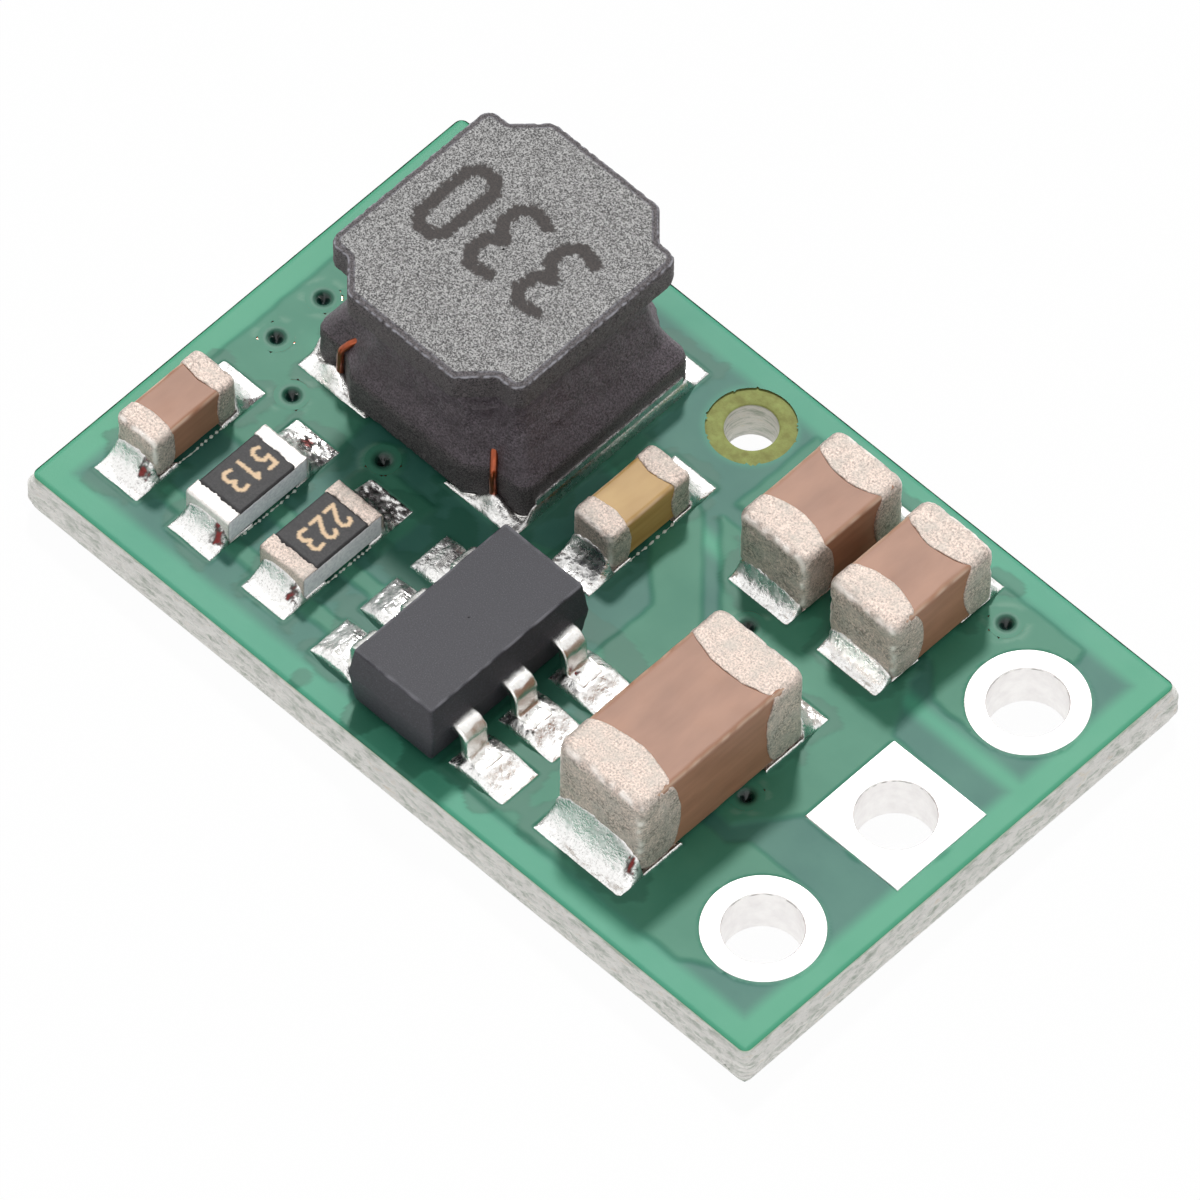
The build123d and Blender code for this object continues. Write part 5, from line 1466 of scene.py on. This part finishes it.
# %% Ferrite core
def upper_flange():
    """Upper flange: straight sides, a rounded edge, a narrow groove and the flat printed face. The size
    code reads from the +y side, so its right is -x and its top is -y. The edge and the groove's inner side
    are paler."""
    ring, normals = flange_ring(UPPER_FLANGE, 480)
    low, high = UPPER_BOTTOM, INDUCTOR_HEIGHT
    rows = [(low, 0.05, s, 0.0) for s in (0.02, 0.4, 0.8, 0.97)] + [(low, 0.06, 1.0, 0.0),
                                                                    (low + 0.015, 0.02, 1.0, 0.0)]
    rows += [(z, 0.0, 1.0, 0.0) for z in np.linspace(low + 0.05, high - 0.06, 10)]
    rows += [(high - 0.055 + 0.045 * math.sin(a), 0.045 * (1 - math.cos(a)), 1.0,
              math.exp(-((a - 0.9) / 0.35) ** 2))
             for a in np.linspace(0.15, 1.57, 9)]
    rows += [(high - 0.010, 0.060, 1.0, 0.0), (high - 0.013, 0.072, 1.0, 0.0),
             (high - 0.012, 0.082, 1.0, 0.25),
             (high - 0.005, 0.092, 1.0, 0.7), (high, 0.100, 1.0, 0.35)]
    flat_count = 63
    rows += [(high, 0.106, s, 0.0) for s in np.linspace(1.0, 0.01, flat_count)]
    points, faces = stack(ring, normals, [row[:3] for row in rows])
    border = np.repeat([1.0] * (len(rows) - flat_count) + [0.0] * flat_count, 480)
    grit = np.clip(0.55 + 0.5 * wave(points, 0.07, 605), 0, 1)
    worn = np.repeat([row[3] for row in rows], 480) * grit * 0.8
    lumps = 0.006 * wave(points, 0.16, 601) + 0.004 * wave(points, 0.06, 602)
    side = border * np.where(points[:, 2] < high - 0.014, 1.0, 0.3)
    direction = points * (1, 1, 0) / np.maximum(np.linalg.norm(points[:, :2], axis=1), 1e-6)[:, None]
    points = points + direction * (np.minimum(lumps, 0.004) * side)[:, None]
    px, py = points[:, 0] + INDUCTOR[0], points[:, 1] + INDUCTOR[1]
    ragged = 0.014 * wave(points[:, :2], 0.12, 603) + 0.008 * wave(points[:, :2], 0.05, 604)
    ink = ink_field(-(px - 3.25), -(py - 5.77), "330", 1.30, 0.90, 0.20, ragged) * (1 - border)
    return points, faces, {"border": border, "ink": ink * (points[:, 2] > high - 0.002), "worn": worn}


def lower_flange():
    """Lower flange, with rounded edges."""
    ring, normals = flange_ring(LOWER_FLANGE)
    low, high = ELECTRODE, LOWER_TOP
    rows = [(low, 0.04, s) for s in (0.02, 0.5, 0.9)] + [(low, 0.04, 1.0), (low + 0.03, 0.0, 1.0)]
    rows += [(z, 0.0, 1.0) for z in np.linspace(low + 0.08, high - 0.08, 8)]
    rows += [(high - 0.04, 0.012, 1.0), (high - 0.01, 0.04, 1.0), (high, 0.09, 1.0)]
    rows += [(high, 0.09, s) for s in (0.9, 0.5, 0.02)]
    points, faces = stack(ring, normals, rows)
    lumps = 0.006 * wave(points, 0.2, 611) + 0.004 * wave(points, 0.07, 612)
    direction = points * (1, 1, 0) / np.maximum(np.linalg.norm(points[:, :2], axis=1), 1e-6)[:, None]
    points = points + direction * np.minimum(lumps, 0.004)[:, None]
    return points, faces, {"border": np.ones(len(points))}


def on_board(shape):
    """Shape moved from the inductor's own axis and seat to the board."""
    points, faces, attributes = shape
    return points + (*INDUCTOR, SEAT), faces, attributes


make_piece("ferrite_core", on_board(join([upper_flange(), lower_flange()])), FERRITE, "ferrite",
           "inductor_core")


# %% [markdown]
# The resin is cast between the flanges and drawn in to a waist. Its rows pass from one flange's outline
# to the other's, drawn in along a curve, with slow lumps.

# %% Resin
def resin_body():
    """Resin between the flanges.

    The inset at a share s of the height is 0.02 + neck * s + waist * 4s(1 - s). It is taken off the
    outline's own measures, because moving the notches in along their normals would fold them over. A bowl
    is pressed in under the flange's notch at the +x, -y corner, and the whole surface is lumpy."""
    rows, total = [], 44
    for s in np.linspace(0, 1, total):
        inset = 0.02 + (RESIN_NECK - 0.02) * s + RESIN_WAIST * 4 * s * (1 - s)
        between = [low + s * (high - low) for low, high in zip(LOWER_FLANGE, UPPER_FLANGE)]
        measures = [size - share * inset for size, share in zip(between, (1.0, 1.0, 0.8, 0.8, 0.5))]
        ring, _ = flange_ring(measures)
        z = LOWER_TOP + s * (UPPER_BOTTOM - LOWER_TOP)
        rows.append(np.column_stack([ring, np.full(len(ring), z)]))
    points = np.vstack(rows)
    away = np.sqrt(((points[:, 0] - 1.08) / 1.0) ** 2 + ((points[:, 1] + 1.62) / 1.2) ** 2
                   + ((points[:, 2] - UPPER_BOTTOM + 0.54) / 0.55) ** 2)
    direction = points * (1, 1, 0) / np.maximum(np.linalg.norm(points[:, :2], axis=1), 1e-6)[:, None]
    press = -0.18 * (1 - step(away, 0.22, 0.34)) + 0.010 * np.exp(-(((away - 0.36) / 0.03) ** 2))
    lumps = 0.013 * wave(points, 0.45, 621) + 0.006 * wave(points, 0.13, 622)
    fade = step(points[:, 2], LOWER_TOP, LOWER_TOP + 0.1)
    points = points + direction * (press + np.minimum(lumps, 0.014) * fade)[:, None]
    return points, grid_faces(total, 360, wrap=True), {}


make_piece("resin_body", on_board(resin_body()), RESIN, "resin", "inductor_resin")


# %% [markdown]
# Both ends of the winding leave the resin in a notch and run down to the solder. A curve with a bevel
# would look the same, but a mesh keeps its points under one rule.

# %% Wire ends
def wire_shape():
    """The two wire ends: a round section carried along a smoothed run of points."""
    parts = []
    for side in (-1, 1):
        x, y = side * (LOWER_FLANGE[3] + 0.030), -(LOWER_FLANGE[2] + 0.038)
        knots = np.array([(0.86 * x, 0.86 * y, 0.90), (0.94 * x, 0.94 * y, 0.80), (x, y, 0.66),
                          (x, y - 0.01, 0.46),
                          (x + side * 0.01, y - 0.01, 0.28), (x + side * 0.01, y - 0.01, 0.08)])
        t = np.linspace(0, 1, len(knots))
        run = np.column_stack([np.interp(np.linspace(0, 1, 60), t, knots[:, k]) for k in range(3)])
        for _ in range(12):
            run[1:-1] = (run[:-2] + run[1:-1] * 2 + run[2:]) / 4
        rows = []
        for k in range(len(run)):
            ahead = run[min(k + 1, 59)] - run[max(k - 1, 0)]
            ahead /= np.linalg.norm(ahead)
            sideways = np.cross(ahead, (-y, x, 0.0))
            sideways /= np.linalg.norm(sideways)
            up = np.cross(ahead, sideways)
            angles = np.linspace(0, 2 * math.pi, 20, endpoint=False)[:, None]
            rows.append(run[k] + WIRE / 2 * (np.cos(angles) * sideways + np.sin(angles) * up))
        parts.append((np.vstack(rows), grid_faces(60, 20, wrap=True), {}))
    return join(parts)


make_piece("wire_ends", on_board(wire_shape()), ENAMEL, "wire", "inductor_wire_ends")


# %% [markdown]
# ## Controller
#
# The moulded body is a stack of rounded rectangles, widest at the parting line. The leads are one rounded
# section carried along a bent line.

# %% Body
def moulded_body():
    """Moulded body: each row is (height, width, length), with small rounds at the top and bottom
    edges."""
    def size_at(z):
        share = (CONTROLLER_TOP - z) / (CONTROLLER_TOP - PARTING)
        if z < PARTING:
            share = (z - STANDOFF) / (PARTING - STANDOFF)
        return [end + (full - end) * share for end, full in zip(CONTROLLER_END, CONTROLLER_SIZE)]

    rows, r, worn = [], 0.022, []
    heights = [STANDOFF + r, *np.linspace(STANDOFF + 0.06, PARTING - 0.02, 8), PARTING - 0.004,
               PARTING + 0.004,
               *np.linspace(PARTING + 0.03, CONTROLLER_TOP - 0.05, 8), CONTROLLER_TOP - r]
    base = size_at(STANDOFF)
    rows += [(STANDOFF, base[0], base[1], r, s) for s in (0.01, 0.5, 0.9, 1.0)]
    rows += [(z, *size_at(z), 0.0, 1.0) for z in heights]
    rows += [(CONTROLLER_TOP - r + r * math.sin(a), *CONTROLLER_END, r * (1 - math.cos(a)), 1.0)
             for a in np.linspace(0.3, 1.57, 5)]
    rows += [(CONTROLLER_TOP, *CONTROLLER_END, r, s) for s in np.linspace(0.97, 0.01, 12)]
    levels = []
    for z, width, length, inset, scale in rows:
        ring, normals = smooth_ring(box_corners(width, length), 0.035, 240)
        levels.append(np.column_stack([(ring - normals * inset) * scale, np.full(240, z)]))
        worn.append(np.full(240,
                            0.55 * math.exp(-((z - CONTROLLER_TOP + 0.008) / 0.010) ** 2) * (scale == 1.0)))
    points = np.vstack(levels)
    points = points + 0.0015 * wave(points, 0.2, 701)[:, None] * np.array([1, 1, 0.3])
    pale_top_edge = np.concatenate(worn) * np.clip(0.6 + 0.4 * wave(points, 0.3, 702), 0, 1)
    return points + (*CONTROLLER, BOARD_TOP), grid_faces(len(rows), 240, wrap=True), {"worn": pale_top_edge}


make_piece("moulded_body", moulded_body(), MOULDING, "moulding", "controller_body")


# %% [markdown]
# A lead is one strip with two bends. Its section is set square to the path at every step, so its
# thickness stays the same round the bends.

# %% Leads
def lead_shape(side, row):
    """Gull-wing lead: a line with two rounded bends, and a rounded section set square to it."""
    foot_z = FILM + LEAD_THICKNESS / 2
    knots = [(0.70, PARTING), (LEAD_SHOULDER - LEAD_THICKNESS / 2, PARTING),
             (LEAD_SPAN / 2 - LEAD_FOOT, foot_z),
             (LEAD_SPAN / 2, foot_z)]
    knots = np.array(knots)
    radius = LEAD_BEND + LEAD_THICKNESS / 2
    path = [knots[0]]
    for before, corner, after in zip(knots, knots[1:], knots[2:]):
        into = (corner - before) / np.linalg.norm(corner - before)
        out = (after - corner) / np.linalg.norm(after - corner)
        turn = math.atan2(into[0] * out[1] - into[1] * out[0], into @ out)
        start = corner - into * radius * math.tan(abs(turn) / 2)
        centre = start + math.copysign(radius, turn) * np.array([-into[1], into[0]])
        first = math.atan2(*(start - centre)[::-1])
        path += [centre + radius * np.array([math.cos(first + turn * s), math.sin(first + turn * s)])
                 for s in np.linspace(0, 1, 10)]
    path = np.array([*path, knots[-1]])
    section, _ = smooth_ring(box_corners(LEAD_WIDTH, LEAD_THICKNESS), 0.03, 48)
    rows = []
    stations = [(path[0], 0.2), (path[0], 1.0)] + [(p, 1.0) for p in path[1:-1]]
    stations += [(path[-1] - (0.012, 0.0), 1.0), (path[-1], 0.86), (path[-1], 0.1)]
    for k, (place, scale) in enumerate(stations):
        here = min(max(k - 1, 0), len(path) - 1)
        ahead = path[min(here + 1, len(path) - 1)] - path[max(here - 1, 0)]
        ahead /= np.linalg.norm(ahead)
        across = np.array([-ahead[1], ahead[0]])
        rows.append(np.column_stack([place[0] + section[:, 1] * across[0] * scale, section[:, 0] * scale,
                                     place[1] + section[:, 1] * across[1] * scale]))
    points = np.vstack(rows)
    points = points + 0.003 * wave(points, 0.15, 720 + row)[:, None] * np.array([0.5, 0.5, 1.0])
    points[:, 0] *= side
    points[:, 1] += (row - 1) * LEAD_PITCH
    faces = grid_faces(len(rows), 48, wrap=True)
    if side > 0:
        faces = faces[:, ::-1]
    return points + (*CONTROLLER, BOARD_TOP), faces, {}


for number, (side, row) in enumerate(((side, row) for side in (-1, 1) for row in range(3)), 1):
    make_piece(f"lead_{number}", lead_shape(side, row), LEAD, "lead", f"controller_lead_{number}")

# %% [markdown]
# ## CAD nodes that stay
#
# Hidden and flat pieces keep their CAD meshes and get their real materials.

# %% Materials of the CAD nodes
KEPT = {
    "board_copper_top": COPPER, "board_copper_bottom": COPPER, "via_barrels": COPPER,
    "inductor_coil": ENAMEL, "inductor_electrode_1": SOLDER, "inductor_electrode_2": SOLDER,
    "controller_die": SILICON,
}
for name, material in KEPT.items():
    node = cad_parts[name]
    node.data.materials.clear()
    node.data.materials.append(material)
print("CAD nodes that stay:", ", ".join(KEPT))

# %% [markdown]
# ## Floor, light and camera
#
# The board lies on a white floor that fades into a white surround. A small bright lamp stands behind the
# board, in the mirror direction of the camera, as in the photograph: it throws crisp shadows towards the
# viewer and makes flat metal blaze.

# %% Floor and surround
def floor():
    """Large white floor. Part of its light is plain white to the camera and to reflections, and the rest
    is shaded, so that the board keeps a faint shadow."""
    mesh = bpy.data.meshes.new("floor")
    mesh.from_pydata([(-3, -3, -1e-5), (3, -3, -1e-5), (3, 3, -1e-5), (-3, 3, -1e-5)], [], [(0, 1, 2, 3)])
    piece = bpy.data.objects.new("floor", mesh)
    bpy.context.scene.collection.objects.link(piece)
    material = bpy.data.materials.new("floor_white")
    material.use_nodes = True
    tree = material.node_tree
    tree.nodes.clear()
    path = add(tree, "LightPath", {}).outputs
    seen = add(tree, "Math", {0: path["Is Camera Ray"], 1: path["Is Glossy Ray"]}, operation="MAXIMUM")
    seen = add(tree, "Math", {0: seen.outputs[0], 1: path["Is Transmission Ray"]}, operation="MAXIMUM")
    share = add(tree, "MapRange", {"Value": seen.outputs[0], "To Min": 0.5, "To Max": 0.97})
    shade = add(tree, "BsdfDiffuse", {"Color": (0.86, 0.86, 0.86, 1)}).outputs[0]
    white = add(tree, "Emission", {"Color": (1, 1, 1, 1), "Strength": 1.0}).outputs[0]
    blend = add(tree, "MixShader", {0: share.outputs["Result"], 1: shade, 2: white})
    add(tree, "OutputMaterial", {"Surface": blend.outputs[0]})
    mesh.materials.append(material)


def surround(level):
    """White surround: strength 1 to the camera and in reflections, and level for the light it gives."""
    world = bpy.data.worlds.new("surround")
    bpy.context.scene.world = world
    world.use_nodes = True
    tree = world.node_tree
    tree.nodes.clear()
    path = add(tree, "LightPath", {}).outputs
    seen = add(tree, "Math", {0: path["Is Camera Ray"], 1: path["Is Glossy Ray"]}, operation="MAXIMUM")
    seen = add(tree, "Math", {0: seen.outputs[0], 1: path["Is Transmission Ray"]}, operation="MAXIMUM")
    strength = add(tree, "MapRange", {"Value": seen.outputs[0], "To Min": level, "To Max": 1.0})
    back = add(tree, "Background", {"Color": (1, 1, 1, 1), "Strength": strength.outputs["Result"]})
    add(tree, "OutputWorld", {"Surface": back.outputs[0]})


floor()
surround(0.42)
print("floor and surround are in place")


# %% [markdown]
# A small lamp gives the crisp shadows. A wide, weak one from the camera's side lifts the faces that the
# first leaves dark. A stronger surround would lift them too, but would wash out the shadows.

# %% Lamp
def sun(name, direction, strength, angle):
    """Distant lamp that shines from a direction, with a disc of the given angle in degrees."""
    light = bpy.data.lights.new(name, "SUN")
    light.energy = strength
    light.angle = math.radians(angle)
    lamp = bpy.data.objects.new(name, light)
    bpy.context.scene.collection.objects.link(lamp)
    lamp.rotation_mode = "QUATERNION"
    lamp.rotation_quaternion = Vector(direction).to_track_quat("Z", "Y")


sun("key", (-0.44, 0.50, 1.0), 2.12, 7.0)
sun("fill", (0.50, -0.62, 0.30), 0.34, 60.0)
print("lamps:", [light.name for light in bpy.data.lights])


# %% [markdown]
# The camera's place was fitted to the outlines in the photograph. Its lens is very long, so parallel
# edges stay nearly parallel.

# %% Camera
def photo_camera():
    """Camera of the photograph: azimuth 43.8, elevation 55.4 degrees, 341 mm away, with a very long
    lens."""
    azimuth, elevation, roll = math.radians(43.8074), math.radians(55.3764), math.radians(0.5285)
    back = Vector((math.sin(azimuth) * math.cos(elevation), -math.cos(azimuth) * math.cos(elevation),
                   math.sin(elevation)))
    right = Vector((math.cos(azimuth), math.sin(azimuth), 0))
    up = back.cross(right)
    right, up = right * math.cos(roll) + up * math.sin(roll), up * math.cos(roll) - right * math.sin(roll)
    target = Vector((6.8983 - BOARD_LENGTH / 2, 3.8595 - BOARD_WIDTH / 2, BOARD_TOP))
    data = bpy.data.cameras.new("photo_camera")
    data.sensor_width, data.lens = 36.0, 36.0 * 25532 / 1200
    data.clip_start, data.clip_end = 0.05, 20.0
    camera = bpy.data.objects.new("photo_camera", data)
    bpy.context.scene.collection.objects.link(camera)
    axes = Matrix((right, up, back)).transposed().to_4x4()
    camera.matrix_world = Matrix.Translation((target + back * 341.1) / 1000) @ axes
    bpy.context.scene.camera = camera


photo_camera()
bpy.context.scene.view_settings.view_transform = "Standard"
print("lens:", round(bpy.context.scene.camera.data.lens), "mm")
